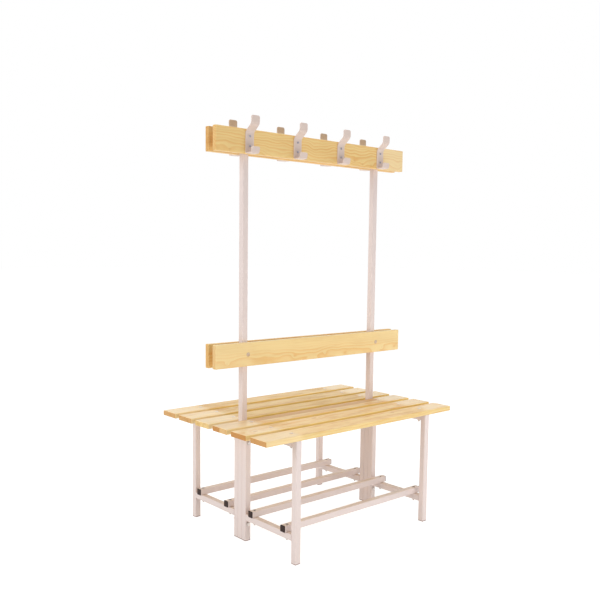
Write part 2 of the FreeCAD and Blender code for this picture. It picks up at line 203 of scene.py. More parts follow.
class SmallPartSettings(PropertyGroup):
    """Sizes and colours of bolts, nuts, screws and plugs."""

    zinc: FloatVectorProperty(
        name="Zinc", description="Plated bolts, nuts and washers", subtype="COLOR", default=linear("DCD3CC"))
    # Painted reflection: a brighter, warmer copy of the zinc for the seat domes that face up
    seat_zinc_painted_light: FloatVectorProperty(
        name="Seat zinc", description="Polished domes of the seat bolts", subtype="COLOR",
        default=linear("F4E4D4"))
    # Painted reflection: a tan copy of the zinc stands in for the pine reflected in the domes
    backrest_zinc_painted_reflection: FloatVectorProperty(
        name="Backrest zinc", description="Yellowed plating of the backrest bolts", subtype="COLOR",
        default=linear("D6BEA7"))
    screw_zinc: FloatVectorProperty(
        name="Screw zinc", description="Plated hook screws", subtype="COLOR", default=linear("B5B2BC"))
    black_plastic: FloatVectorProperty(
        name="End plugs", description="Plugs in the tube ends", subtype="COLOR", default=linear("301D18"))
    foot_plastic: FloatVectorProperty(
        name="Feet", description="Plugs under the legs", subtype="COLOR", default=linear("9C7E72"))
    bolt_diameter: FloatProperty(
        name="Bolt diameter", description="Bolts of seat, rails and backrest", default=6 * MM, unit="LENGTH")
    centre_diameter: FloatProperty(
        name="Centre bolt diameter", description="Bolts of the middle legs", default=8 * MM, unit="LENGTH")
    screw_diameter: FloatProperty(
        name="Screw diameter", description="Screws of the hooks", default=4.8 * MM, unit="LENGTH")
    screw_head: FloatProperty(
        name="Screw head", description="Diameter of the hook screws' heads", default=8.5 * MM, unit="LENGTH")
    short_grip: FloatProperty(
        name="Short screw grip", description="Depth of the short hook screws in a board", default=14 * MM,
        unit="LENGTH")
    long_grip: FloatProperty(
        name="Long screw grip", description="Depth of the long hook screws in board and upright",
        default=26.5 * MM, unit="LENGTH")
    rail_head_height: FloatProperty(
        name="Rail bolt head", description="Height of the rail bolts' heads", default=3.3 * MM, unit="LENGTH")
    centre_head: FloatProperty(
        name="Centre bolt head", description="Width of hexagon heads and nuts of the middle legs",
        default=13 * MM, unit="LENGTH")
    centre_head_height: FloatProperty(
        name="Centre head height", description="Height of those hexagon heads", default=5.3 * MM,
        unit="LENGTH")
    nut_width: FloatProperty(
        name="Nut width", description="Nuts of seat, rails and backrest, across their flats",
        default=10 * MM, unit="LENGTH")
    nut_height: FloatProperty(
        name="Nut height", description="Height of those nuts", default=5 * MM, unit="LENGTH")
    thread_pitch: FloatProperty(
        name="Thread pitch", description="Distance between turns of the thread", default=1 * MM,
        unit="LENGTH")
    tube_wall: FloatProperty(
        name="Tube wall", description="Wall of the square tubes", default=1.5 * MM, unit="LENGTH")
    tube_corner: FloatProperty(
        name="Tube corner", description="Outer corner radius of the square tubes", default=3 * MM,
        unit="LENGTH")
    plug_stem: FloatProperty(
        name="Plug stem", description="Length of a plug inside its tube", default=10 * MM, unit="LENGTH")
    spin_seed: IntProperty(
        name="Spin seed", description="Seed of how far each fastener happens to be turned", default=7)


class StageSettings(PropertyGroup):
    """Floor, light and camera."""

    floor: FloatVectorProperty(
        name="Floor", description="Colour of the floor", subtype="COLOR", default=linear("F4F3F2"))
    ambient: FloatProperty(name="Ambient", description="Light from all round", default=0.47, min=0)
    front_power: FloatProperty(
        name="Front light", description="Low soft light from the front", default=9.3, min=0, unit="POWER")
    rear_power: FloatProperty(
        name="Rear light", description="Low soft light from the rear", default=8, min=0, unit="POWER")
    left_power: FloatProperty(
        name="Left light", description="Soft light from the left", default=93, min=0, unit="POWER")
    right_power: FloatProperty(
        name="Right light", description="Soft light from the right", default=13, min=0, unit="POWER")
    top_power: FloatProperty(
        name="Top light", description="Soft light from above", default=42, min=0, unit="POWER")
    camera_place: FloatVectorProperty(
        name="Camera", description="Where the camera stands", subtype="TRANSLATION", unit="LENGTH",
        default=(-2.0714, -2.2929, 1.1115))
    camera_yaw: FloatProperty(
        name="Yaw", description="Turn to the right of straight ahead", subtype="ANGLE",
        default=math.radians(41.099))
    camera_pitch: FloatProperty(
        name="Pitch", description="Look down", subtype="ANGLE", default=math.radians(5.5645))
    camera_roll: FloatProperty(
        name="Roll", description="Tilt of the picture", subtype="ANGLE", default=math.radians(0.6774))
    camera_lens: FloatProperty(
        name="Lens", description="Focal length in millimetres on a 36 mm picture", default=45.4085, min=1)
    camera_shift: FloatVectorProperty(
        name="Shift", description="Framing of the picture", size=2, default=(0.0026, 0.0434))


class BenchSettings(PropertyGroup):
    """All settings of the bench."""

    pine: PointerProperty(type=PineSettings)
    steel: PointerProperty(type=SteelSettings)
    small: PointerProperty(type=SmallPartSettings)
    stage: PointerProperty(type=StageSettings)


class Graph:
    """Adds nodes to a node tree and joins their sockets."""

    def __init__(self, tree):
        self.tree = tree

    def add(self, kind, inputs=(), named=None, output=0, **settings):
        """A node with its settings and inputs, and the socket that it puts out."""
        node = self.tree.nodes.new(kind)
        for key, value in settings.items():
            setattr(node, key, value)
        pairs = [(node.inputs[k], value) for k, value in enumerate(inputs)]
        pairs += [(node.inputs[label], value) for label, value in (named or {}).items()]
        for socket, value in pairs:
            if isinstance(value, bpy.types.NodeSocket):
                self.tree.links.new(value, socket)
            elif value is not None:
                socket.default_value = value
        return node.outputs[output]

    def close(self, kind, surface):
        """Ends the tree of a material or a world with its output node."""
        self.tree.links.new(surface, self.tree.nodes.new(kind).inputs["Surface"])

    def math(self, operation, *values):
        """Numbers joined by an operation of the Math node."""
        return self.add("ShaderNodeMath", values, operation=operation)

    def plus(self, first, second):
        return self.math("ADD", first, second)

    def minus(self, first, second):
        return self.math("SUBTRACT", first, second)

    def times(self, first, second):
        return self.math("MULTIPLY", first, second)

    def swing(self, value, reach):
        """How far a noise lies from its mean, times a reach."""
        return self.times(self.minus(value, NOISE_MEAN), reach)

    def vector(self, operation, *values, output=0):
        """Vectors joined by an operation of the Vector Math node."""
        return self.add("ShaderNodeVectorMath", values, output=output, operation=operation)

    def scaled(self, vector, factor):
        """A vector times a number."""
        return self.add("ShaderNodeVectorMath", named={"Vector": vector, "Scale": factor}, operation="SCALE")

    def smooth(self, value, low, high, start=0.0, end=1.0):
        """A value that goes softly from start to end as another goes from low to high."""
        return self.add(
            "ShaderNodeMapRange", (value, low, high, start, end), interpolation_type="SMOOTHSTEP")

    def noise(self, vector, scale=1.0, detail=2.0, roughness=0.5, output="Fac"):
        """Soft noise."""
        named = {"Vector": vector, "Scale": scale, "Detail": detail, "Roughness": roughness}
        return self.add("ShaderNodeTexNoise", named=named, output=output)

    def mix(self, factor, first, second, blend="MIX"):
        """One colour laid over another."""
        inputs = (factor, None, None, None, None, None, first, second)
        return self.add("ShaderNodeMix", inputs, output=2, data_type="RGBA", blend_type=blend)

    def tinted(self, factor, colour, tint):
        """A colour multiplied by a tint as far as the factor says."""
        return self.mix(factor, colour, tint, blend="MULTIPLY")

    def parts(self, vector):
        """The three parts of a vector."""
        return list(self.add("ShaderNodeSeparateXYZ", (vector,)).node.outputs)

    def joined(self, x, y, z):
        """A vector from its three parts."""
        return self.add("ShaderNodeCombineXYZ", (x, y, z))


class Group(Graph):
    """A node group with named sockets."""

    def __init__(self, name, kind, inputs, outputs):
        super().__init__(bpy.data.node_groups.new(name, kind))
        for label, (socket, default) in inputs.items():
            made = self.tree.interface.new_socket(label, in_out="INPUT", socket_type=socket)
            if default is not None:
                made.default_value = default
        for label, socket in outputs.items():
            self.tree.interface.new_socket(label, in_out="OUTPUT", socket_type=socket)
        self.given = self.tree.nodes.new("NodeGroupInput").outputs
        self.result = self.tree.nodes.new("NodeGroupOutput").inputs

    def give(self, label, socket):
        """Puts a value out of the group."""
        self.tree.links.new(socket, self.result[label])


NOISE_MEAN = 0.5
FLOAT = "NodeSocketFloat"
VECTOR = "NodeSocketVector"
COLOUR = "NodeSocketColor"
GREY = (0.5, 0.5, 0.5, 1.0)
WHITE = (1.0, 1.0, 1.0, 1.0)
EFFECT_OUTPUTS = {"Color": COLOUR, "Roughness": FLOAT, "Height": FLOAT}


def opaque(colour):
    """A colour with its fourth channel."""
    return (*colour, 1.0)


KNOT_SOCKETS = ("First Knot", "Second Knot", "Third Knot", "Fourth Knot", "Fifth Knot", "Sixth Knot")
FAR_AWAY = (9.0, 0.0, 0.0)
# A knot is longer along the board and runs through it, with an uneven rim
KNOT_SHAPE = (0.62, 1.0, 0.12)
KNOT_RIM_SCALE = 140.0
KNOT_RIM = 0.5
# How fast its pull on the rings falls off, and where its heart begins and is full, in radii
KNOT_FALL = -0.16
KNOT_HEART = (1.0, 0.35)


def knot_group():
    """How one knot pulls the growth rings aside, and where its heart is."""
    group = Group(
        "Pine knot", "ShaderNodeTree",
        {"Vector": (VECTOR, None), "Place": (VECTOR, (0, 0, 0)), "Radius": (FLOAT, 10 * MM)},
        {"Pull": FLOAT, "Heart": FLOAT})
    radius = group.given["Radius"]
    away = group.vector("SUBTRACT", group.given["Vector"], group.given["Place"])
    flat = group.vector("MULTIPLY", away, KNOT_SHAPE)
    distance = group.math("DIVIDE", group.vector("LENGTH", flat, output=1), radius)
    distance = group.plus(distance, group.swing(group.noise(away, KNOT_RIM_SCALE, 1.0), KNOT_RIM))
    fall = group.math("POWER", math.e, group.times(group.times(distance, distance), KNOT_FALL))
    group.give("Pull", group.times(fall, radius))
    group.give("Heart", group.smooth(distance, *KNOT_HEART))
    return group.tree


# How fast the wood's patterns change along, across and through the log
LONG_BEND_PACE = (2.6, 5.0, 5.0)
SHORT_WAVE_PACE = (8.5, 17.0, 17.0)
FIBRE_PACE = (7.0, 620.0, 620.0)
CLOUD_PACE = (2.0, 22.0, 22.0)
STREAK_PACE = (7.0, 42.0, 42.0)
# Noise of fibres and streaks is finer than the rest
FINE = {"detail": 3.0, "roughness": 0.6}
# How far long bends and short waves lead the rings astray, as shares of a board's wave
LONG_BEND = 1.6
SHORT_WAVE = 0.9
MEAN_WANDER = [(LONG_BEND + SHORT_WAVE) * NOISE_MEAN] * 3
# Where the second strip of a glued board was cut, seen from the first
SECOND_STRIP = (0.37, 0.031, 0.019)
# Shares of a ring between which its line grows dark, and between which it ends
RING_RISE = (0.18, 0.86)
RING_END = (0.99, 0.86)
# Rings of uneven width, with lines that are fainter in places
UNEVEN_RINGS = 1.3
UNEVEN_SCALE = 0.55
FAINT_PACE = 1.4
FAINT_SCALE = 0.8
FAINT_LINES = (0.25, 0.75, 0.35, 1.0)


def wander(group, in_log):
    """Places in the log as its rings see them: their middle line goes in long bends and short waves."""
    paced = group.vector("MULTIPLY", in_log, group.joined(group.given["Wave Pace"], 1.0, 1.0))
    long_bend = group.noise(group.vector("MULTIPLY", paced, LONG_BEND_PACE), detail=1.0, output="Color")
    short_wave = group.noise(group.vector("MULTIPLY", paced, SHORT_WAVE_PACE), detail=1.0, output="Color")
    astray = group.vector("ADD", group.scaled(long_bend, LONG_BEND), group.scaled(short_wave, SHORT_WAVE))
    astray = group.vector("SUBTRACT", astray, MEAN_WANDER)
    return group.vector("ADD", in_log, group.scaled(astray, group.given["Wave"]))


def growth_rings(group, in_log):
    """Lines of the growth rings, which knots pull aside, and the hearts of those knots."""
    given = group.given
    log_x, log_y, log_z = group.parts(wander(group, in_log))
    from_pith = group.vector("LENGTH", group.joined(0.0, log_y, log_z), output=1)
    hearts = 0.0
    knot_tree = knot_group()
    for label in KNOT_SOCKETS:
        sockets = {"Vector": given["Vector"], "Place": given[label], "Radius": given["Knot Radius"]}
        knot = group.add("ShaderNodeGroup", named=sockets, node_tree=knot_tree).node.outputs
        from_pith = group.plus(from_pith, knot["Pull"])
        hearts = group.math("MAXIMUM", hearts, knot["Heart"])
    rings = group.math("DIVIDE", from_pith, given["Ring Spacing"])
    uneven = group.noise(group.joined(0.0, 0.0, rings), UNEVEN_SCALE, 1.0)
    rings = group.plus(rings, group.times(uneven, UNEVEN_RINGS))
    part = group.math("FRACT", rings)
    line = group.times(group.smooth(part, *RING_RISE), group.smooth(part, *RING_END))
    along_ring = group.joined(group.times(log_x, FAINT_PACE), 0.0, rings)
    strength = group.smooth(group.noise(along_ring, FAINT_SCALE, 1.0), *FAINT_LINES)
    return group.times(line, strength), hearts


# Across a board: where its plain side begins and is full, and where its broad face ends
PLAIN_SIDE = (-15 * MM, 20 * MM)
BROAD_FACE = (44.5 * MM, 42.5 * MM)
# Along a board: where its paler ends of painted light begin and are full
LEFT_END = (30 * MM - FRAME_X, -6 * MM - FRAME_X)
RIGHT_END = (FRAME_X - 4 * MM, FRAME_X + 30 * MM)
# How far a face has to look along the board to be a sawn end
SAWN_FACING = (0.55, 0.9)
# How much fibres and clouds darken the wood, and what darkness gives late wood on it and on the paler ends of
# painted light
FIBRE_DARKNESS = 0.34
CLOUD_DARKNESS = 0.5
LATE_WOOD = (-0.25, 1.2)
PAINTED_LIGHT_LATE_WOOD = (0.1, 1.2, 0.0, 0.55)
SAWN_LINES = 0.55
# Worn streaks: where their noise begins and is full, their colour, their share on narrow sides, their wear
STREAK_EDGE = (0.42, 0.66)
STREAK_TINT = (0.82, 0.73, 0.65, 1.0)
SIDE_STREAKS = 0.3
STREAK_WEAR = 0.45
LEAST_VARNISH = 0.02
# Roughness of the wood and what fibres and sawn ends add to it, and the relief of lines and fibres
WOOD_ROUGHNESS = 0.42
FIBRE_ROUGHNESS = 0.16
SAWN_ROUGHNESS = 0.12
LINE_RELIEF = 0.6
FIBRE_RELIEF = 0.5
# The pine's sockets: kind and default of each
PINE_INPUTS = {
    "Vector": (VECTOR, None), "Log Shift": (VECTOR, (0, 0, 0)), "Ring Spacing": (FLOAT, 6 * MM),
    "Wave": (FLOAT, 10 * MM), "Wave Pace": (FLOAT, 1.0), "Contrast": (FLOAT, 0.8), "Plain Side": (FLOAT, 0.0),
    "Streak": (FLOAT, 1.0), "Early Wood": (COLOUR, GREY), "Late Wood": (COLOUR, GREY),
    "Pale Wood": (COLOUR, GREY), "Left Pale": (FLOAT, 0.5), "Right Pale": (FLOAT, 0.5),
    "End Grain": (COLOUR, GREY), "End Depth": (FLOAT, 0.8), "Knot Heart": (COLOUR, GREY),
    "Knot Radius": (FLOAT, 9 * MM), "Knot Depth": (FLOAT, 0.5), "Glue Joint": (FLOAT, 1.0),
    "Glue Tone": (FLOAT, 0.0), "Tone": (COLOUR, WHITE), "Side Tint": (COLOUR, WHITE),
    "Varnish": (FLOAT, 0.3), "End Varnish": (FLOAT, 0.3), **dict.fromkeys(KNOT_SOCKETS, (VECTOR, FAR_AWAY)),
}


def darkness(group, in_log, across, line, fibre):
    """How dark the wood is by its ring lines, fibres and clouds."""
    cloud = group.noise(group.vector("MULTIPLY", in_log, CLOUD_PACE))
    clear = group.smooth(across, *PLAIN_SIDE, 1.0, group.minus(1.0, group.given["Plain Side"]))
    dark = group.times(group.times(line, clear), group.given["Contrast"])
    dark = group.plus(dark, group.swing(fibre, FIBRE_DARKNESS))
    return group.plus(dark, group.swing(cloud, CLOUD_DARKNESS))


def worn_streaks(group, in_log, broad_face):
    """Streaks where the varnish is worn, mostly on the broad faces."""
    streak = group.noise(group.vector("MULTIPLY", in_log, STREAK_PACE), **FINE)
    streak = group.times(group.smooth(streak, *STREAK_EDGE), group.given["Streak"])
    return group.times(streak, group.plus(group.times(broad_face, 1 - SIDE_STREAKS), SIDE_STREAKS))


def pine_group():
    """Solid pine: growth rings about the log's middle, knots, fibres, sawn ends and a glue joint."""
    group = Group("Planed pine", "ShaderNodeTree", PINE_INPUTS, {**EFFECT_OUTPUTS, "Varnish": FLOAT})
    given = group.given
    along, across, _ = group.parts(given["Vector"])
    second_strip = group.math("GREATER_THAN", across, given["Glue Joint"])
    in_log = group.vector("ADD", given["Vector"], given["Log Shift"])
    in_log = group.vector("ADD", in_log, group.scaled(SECOND_STRIP, second_strip))
    line, hearts = growth_rings(group, in_log)
    fibre = group.noise(group.vector("MULTIPLY", in_log, FIBRE_PACE), **FINE)
    dark = darkness(group, in_log, across, line, fibre)
    broad_face = group.smooth(group.math("ABSOLUTE", across), *BROAD_FACE)
    streak = worn_streaks(group, in_log, broad_face)
    colour = group.mix(group.smooth(dark, *LATE_WOOD), given["Early Wood"], given["Late Wood"])
    colour = group.tinted(streak, colour, STREAK_TINT)
    # A board's own tone, which on the rear boards is painted shade
    colour = group.tinted(1.0, colour, given["Tone"])
    # Painted bounce light on the slats' narrow sides, and painted shade on the front slat's
    colour = group.tinted(group.minus(1.0, broad_face), colour, given["Side Tint"])

    # Paler lengths past the frames, painted light for the brighter light the ends catch, knots, and sawn ends
    # that soak up more varnish
    facing = group.parts(group.add("ShaderNodeTexCoord", output="Normal"))
    sawn = group.smooth(group.math("ABSOLUTE", facing[0]), *SAWN_FACING)
    planed = group.minus(1.0, sawn)
    left_end = group.smooth(along, *LEFT_END)
    right_end = group.smooth(along, *RIGHT_END)
    # Painted light: how far each end is painted paler
    left_painted_light = group.times(left_end, given["Left Pale"])
    right_painted_light = group.times(group.times(right_end, broad_face), given["Right Pale"])
    painted_light = group.times(group.plus(left_painted_light, right_painted_light), planed)
    painted_light_grain = group.mix(group.smooth(dark, *PAINTED_LIGHT_LATE_WOOD), given["Pale Wood"], given["Late Wood"])
    colour = group.mix(painted_light, colour, painted_light_grain)
    colour = group.mix(group.times(hearts, given["Knot Depth"]), colour, given["Knot Heart"])
    strip_tone = group.times(second_strip, given["Glue Tone"])
    strip_tone = group.times(strip_tone, group.minus(1.0, painted_light))
    end_depth = group.minus(group.times(sawn, given["End Depth"]), strip_tone)
    end_colour = group.mix(group.times(line, SAWN_LINES), given["End Grain"], given["Knot Heart"])
    group.give("Color", group.mix(group.math("MAXIMUM", end_depth, 0.0), colour, end_colour))

    rough = group.plus(WOOD_ROUGHNESS, group.times(fibre, FIBRE_ROUGHNESS))
    group.give("Roughness", group.plus(rough, group.times(sawn, SAWN_ROUGHNESS)))
    group.give("Height", group.plus(group.times(line, LINE_RELIEF), group.times(fibre, FIBRE_RELIEF)))
    ends = group.times(group.times(group.plus(left_end, right_end), broad_face), planed)
    more = group.times(ends, group.minus(given["End Varnish"], given["Varnish"]))
    varnish = group.minus(group.plus(given["Varnish"], more), group.times(streak, STREAK_WEAR))
    group.give("Varnish", group.math("MAXIMUM", varnish, LEAST_VARNISH))
    return group.tree


# Noise between which clouds and specks begin and are full, and how far a face has to look up to get the
# painted shade and bounce light of tops
CLOUD_EDGE = (0.3, 0.75)
SPECK_EDGE = (0.62, 0.8, 0.0, 0.06)
TOP_FACING = (0.5, 0.9)


def skin_group():
    """Even finish with fine ripples, cloudy tone and small specks, for coat, plating and plastic, with
    painted shade and bounce light on what looks up.
    """
    group = Group(
        "Even skin", "ShaderNodeTree",
        {
            "Vector": (VECTOR, None), "Colour": (COLOUR, GREY), "Shade": (COLOUR, GREY),
            "Ripple Size": (FLOAT, 1 * MM), "Cloud Size": (FLOAT, 100 * MM), "Cloud": (FLOAT, 0.3),
            "Base Roughness": (FLOAT, 0.4), "Uneven Gloss": (FLOAT, 0.1), "Top Tint": (COLOUR, WHITE),
        },
        EFFECT_OUTPUTS)
    given = group.given
    cloud = group.noise(given["Vector"], group.math("DIVIDE", 1.0, given["Cloud Size"]), 3.0)
    ripple = group.noise(given["Vector"], group.math("DIVIDE", 1.0, given["Ripple Size"]))
    amount = group.times(group.smooth(cloud, *CLOUD_EDGE), given["Cloud"])
    amount = group.plus(amount, group.smooth(ripple, *SPECK_EDGE))
    colour = group.mix(amount, given["Colour"], given["Shade"])
    # Painted shade and bounce light on faces that look up
    upward = group.parts(group.add("ShaderNodeTexCoord", output="Normal"))[2]
    group.give("Color", group.tinted(group.smooth(upward, *TOP_FACING), colour, given["Top Tint"]))
    group.give("Roughness", group.plus(given["Base Roughness"], group.swing(cloud, given["Uneven Gloss"])))
    group.give("Height", ripple)
    return group.tree


def empty_graph(owner):
    """Empty node tree of a material or a world."""
    owner.use_nodes = True
    owner.node_tree.nodes.clear()
    return Graph(owner.node_tree)


def surface(name, effect, values, plain, bump, mapping=None):
    """Material: a shared effect, plain values on the shader, and a bump's strength and distance."""
    material = bpy.data.materials.new(name)
    graph = empty_graph(material)
    place = graph.add("ShaderNodeTexCoord", output="Object")
    if mapping:
        place = graph.add("ShaderNodeMapping", named={"Vector": place, **mapping})
    look = graph.add("ShaderNodeGroup", named={"Vector": place, **values}, node_tree=effect).node.outputs
    strength, distance = bump
    relief = {"Strength": strength, "Distance": distance, "Height": look["Height"]}
    sockets = {
        "Base Color": look["Color"], "Roughness": look["Roughness"],
        "Normal": graph.add("ShaderNodeBump", named=relief), **plain,
    }
    if "Varnish" in look:
        sockets["Coat Weight"] = look["Varnish"]
    graph.close("ShaderNodeOutputMaterial", graph.add("ShaderNodeBsdfPrincipled", named=sockets))
    return material


def shared(name, make):
    """A node group or material made once and found again by its name."""
    found = bpy.data.node_groups.get(name) or bpy.data.materials.get(name)
    return found or make()


def darker(colour, factor):
    """A colour with less light in it."""
    return opaque([channel * factor for channel in colour])


def coated_steel(name, colour, steel, top_painted_bounce=(1, 1, 1)):
    """Powder coat with a faint orange peel, and painted shade and tan bounce light on what looks up."""
    values = {
        "Colour": opaque(colour), "Shade": darker(colour, 0.9), "Ripple Size": steel.peel_size,
        "Cloud Size": 120 * MM, "Cloud": 0.12, "Base Roughness": 0.38, "Uneven Gloss": 0.1,
        "Top Tint": opaque(top_painted_bounce),
    }
    plain = {"Specular IOR Level": 0.45, "Coat Weight": 0.1, "Coat Roughness": 0.25}
    return surface(name, shared("Even skin", skin_group), values, plain, bump=(0.12, 0.25 * MM))


def plated_metal(name, colour):
    """Zinc plating: bright, a little cloudy."""
    values = {
        "Colour": opaque(colour), "Shade": darker(colour, 0.7), "Ripple Size": 0.5 * MM,
        "Cloud Size": 4 * MM, "Cloud": 0.5, "Base Roughness": 0.38, "Uneven Gloss": 0.25,
    }
    plain = {"Metallic": 1.0}
    return surface(name, shared("Even skin", skin_group), values, plain, bump=(0.15, 0.05 * MM))


def zinc_plating(small):
    """Plating that most bolts, nuts and washers share."""
    name = "Zinc plating"
    return shared(name, lambda: plated_metal(name, small.zinc))


def moulded_plastic(name, colour):
    """Fine-grained moulded plastic."""
    values = {
        "Colour": opaque(colour), "Shade": darker(colour, 0.7), "Ripple Size": 0.6 * MM,
        "Cloud Size": 12 * MM, "Cloud": 0.5, "Base Roughness": 0.5, "Uneven Gloss": 0.15,
    }
    plain = {"Specular IOR Level": 0.25}
    return surface(name, shared("Even skin", skin_group), values, plain, bump=(0.3, 0.1 * MM))


# How each board was cut: its place in the log, its own tint (on the rear boards painted shade), its paler
# ends of painted light and its grain
BOARD_LOOKS = {
    # The left and right paler ends are painted light, given as shares of the paler wood
    "seat_slat_front_1": {
        "Log Shift": (0.3, 0.03, 0.075), "Tone": (0.99, 1, 1.05, 1), "Left Pale": 0.7, "Right Pale": 0.9,
        "Streak": 0.45, "Glue Joint": 0.0, "Glue Tone": -0.6, "End Depth": 0.35},
    "seat_slat_front_2": {
        "Log Shift": (1.9, 0.01, 0.05), "Tone": (1, 1.01, 1.06, 1), "Left Pale": 0.45, "Right Pale": 0.55,
        "End Depth": 0.95},
    "seat_slat_front_3": {
        "Log Shift": (3.1, -0.045, 0.06), "Tone": (1.05, 1.07, 1.15, 1), "Left Pale": 0.6, "Right Pale": 0.4,
        # Painted shade: this slat's narrow sides are painted darker
        "Side Tint": (0.9, 0.91, 0.8, 1), "End Depth": 0.8},
    "seat_slat_rear_1": {
        "Log Shift": (4.7, 0.05, 0.04), "Tone": (0.97, 0.99, 0.93, 1), "Left Pale": 0.95, "Right Pale": 0.9,
        "End Depth": 0.05},
    "seat_slat_rear_2": {
        "Log Shift": (6.2, -0.02, 0.055), "Tone": (0.89, 0.91, 0.93, 1), "Left Pale": 0.85, "Right Pale": 0.8,
        "End Depth": 0.6},
    "seat_slat_rear_3": {
        "Log Shift": (7.7, 0.04, 0.07), "Tone": (0.95, 0.97, 1.03, 1), "Left Pale": 0.85, "Right Pale": 0.75,
        "End Depth": 0.65},
    "backrest_board_front": {
        "Log Shift": (9.3, 0.034, 0.05), "Tone": (1.02, 1.06, 1.08, 1), "Left Pale": 0.2, "Right Pale": 0.1,
        "Wave": 12 * MM, "Wave Pace": 1.3, "Ring Spacing": 5.5 * MM, "Plain Side": 0.75, "Streak": 0.25,
        "End Depth": 0.35, "Knot Radius": 3.5 * MM, "Knot Depth": 0.15},
    # Painted shade: the darker, more orange tone stands in for the shade between the boards
    "backrest_board_rear": {
        "Log Shift": (11.1, -0.03, 0.06), "Tone": (0.99, 0.93, 0.75, 1), "Left Pale": 0.2, "Right Pale": 0.2,
        "Streak": 0.25, "End Depth": 0.45},
    "hook_board_front": {
        "Log Shift": (12.6, 0.062, 0.04), "Tone": (1, 0.98, 0.88, 1), "Left Pale": 0.0, "Right Pale": 0.85,
        "Wave": 26 * MM, "Wave Pace": 1.8, "Ring Spacing": 9 * MM, "Contrast": 0.85, "Streak": 0.2,
        "End Depth": 0.35, "Knot Radius": 6 * MM, "Knot Depth": 0.2},
    # Painted shade: the darker, more orange tone stands in for the shade between the boards
    "hook_board_rear": {
        "Log Shift": (14.2, -0.05, 0.05), "Tone": (0.97, 0.89, 0.74, 1), "Left Pale": 0.2, "Right Pale": 0.2,
        "End Depth": 0.5},
}
# Places of knots on a board: along it and across it
BOARD_KNOTS = {
    "seat_slat_front_2": ((-0.12, 0.02), (-0.43, -0.01)),
    "seat_slat_front_3": ((-0.51, 0.02), (0.2, 0.015)),
    "seat_slat_rear_2": ((-0.22, 0.01), (0.13, -0.02)),
    "backrest_board_front": (
        (-0.448, -0.028), (-0.118, -0.025), (0.048, -0.026), (0.163, -0.033), (0.392, -0.026),
        (0.471, -0.027)),
    "hook_board_front": ((-0.438, -0.036), (0.199, -0.023), (0.246, -0.032), (0.298, -0.034)),
}


def pine_material(node, pine):
    """Varnished pine of one board, with the grain along it."""
    standing = extent(node).z > extent(node).y
    turn = Matrix.Rotation(-math.pi / 2 if standing else 0.0, 3, "X")
    mapping = {"Location": -(turn @ centre(node)), "Rotation": turn.to_euler()}
    values = {
        "Ring Spacing": pine.ring_spacing, "Early Wood": opaque(pine.early_wood),
        "Late Wood": opaque(pine.late_wood), "Pale Wood": opaque(pine.painted_light_wood),
        "End Grain": opaque(pine.end_grain), "Knot Heart": opaque(pine.knot),
        # Slats get painted bounce light on their narrow sides; standing boards get none
        "Side Tint": opaque((1, 1, 1) if standing else pine.side_painted_bounce),
        "Varnish": pine.varnish if standing else pine.worn_varnish,
        "End Varnish": pine.varnish if standing else pine.end_varnish, **BOARD_LOOKS[node],
    }
    values.update(
        (label, (*place, 0.0)) for label, place in zip(KNOT_SOCKETS, BOARD_KNOTS.get(node, ())))
    plain = {"Coat Roughness": pine.varnish_roughness, "Specular IOR Level": 0.35}
    effect = shared("Planed pine", pine_group)
    return surface(f"Pine {node}", effect, values, plain, bump=(0.12, 0.3 * MM), mapping=mapping)


def new_object(name, data):
    """An object in the scene, of a mesh, a light or a camera."""
    made = bpy.data.objects.new(name, data)
    bpy.context.scene.collection.objects.link(made)
    return made


def hand_over(piece, slot, *nodes):
    """A finished piece rides on the bench and stands for its solids, which are hidden; its slot is not used.
    """
    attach(piece, BODY)
    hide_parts(*nodes)


def plain_copy(piece, name):
    """The piece as its modifiers make it, as a plain mesh at the origin."""
    depsgraph = bpy.context.evaluated_depsgraph_get()
    mesh = bpy.data.meshes.new_from_object(piece.evaluated_get(depsgraph))
    mesh.name = name
    bpy.data.objects.remove(piece)
    return new_object(name, mesh)


def grown(name, start, tree, values):
    """What a geometry tree makes of a start mesh, with its inputs set by label."""
    maker = new_object(f"{name}_start", start)
    modifier = maker.modifiers.new(tree.name, "NODES")
    modifier.node_group = tree
    inputs = [item for item in tree.interface.items_tree if item.in_out == "INPUT"]
    keys = {item.name: item.identifier for item in inputs}
    for label, value in values.items():
        modifier[keys[label]] = value
    return plain_copy(maker, name)


def geometry_group(name, inputs):
    """A geometry tree, and its start geometry."""
    group = Group(
        name, "GeometryNodeTree", {"Geometry": ("NodeSocketGeometry", None), **inputs},
        {"Geometry": "NodeSocketGeometry"})
    return group, group.given["Geometry"]


def close_geometry(group, geometry):
    """Ends a tree: instances become real and take the material."""
    real = group.add("GeometryNodeRealizeInstances", (geometry,))
    named = {"Geometry": real, "Material": group.given["Material"]}
    group.give("Geometry", group.add("GeometryNodeSetMaterial", named=named))
    return group.tree


# Rows of points on a board's flats; those further out go round its edges
FLAT_ROWS = 4
LAST_FLAT_ROW = [(FLAT_ROWS - 1) / 2] * 3


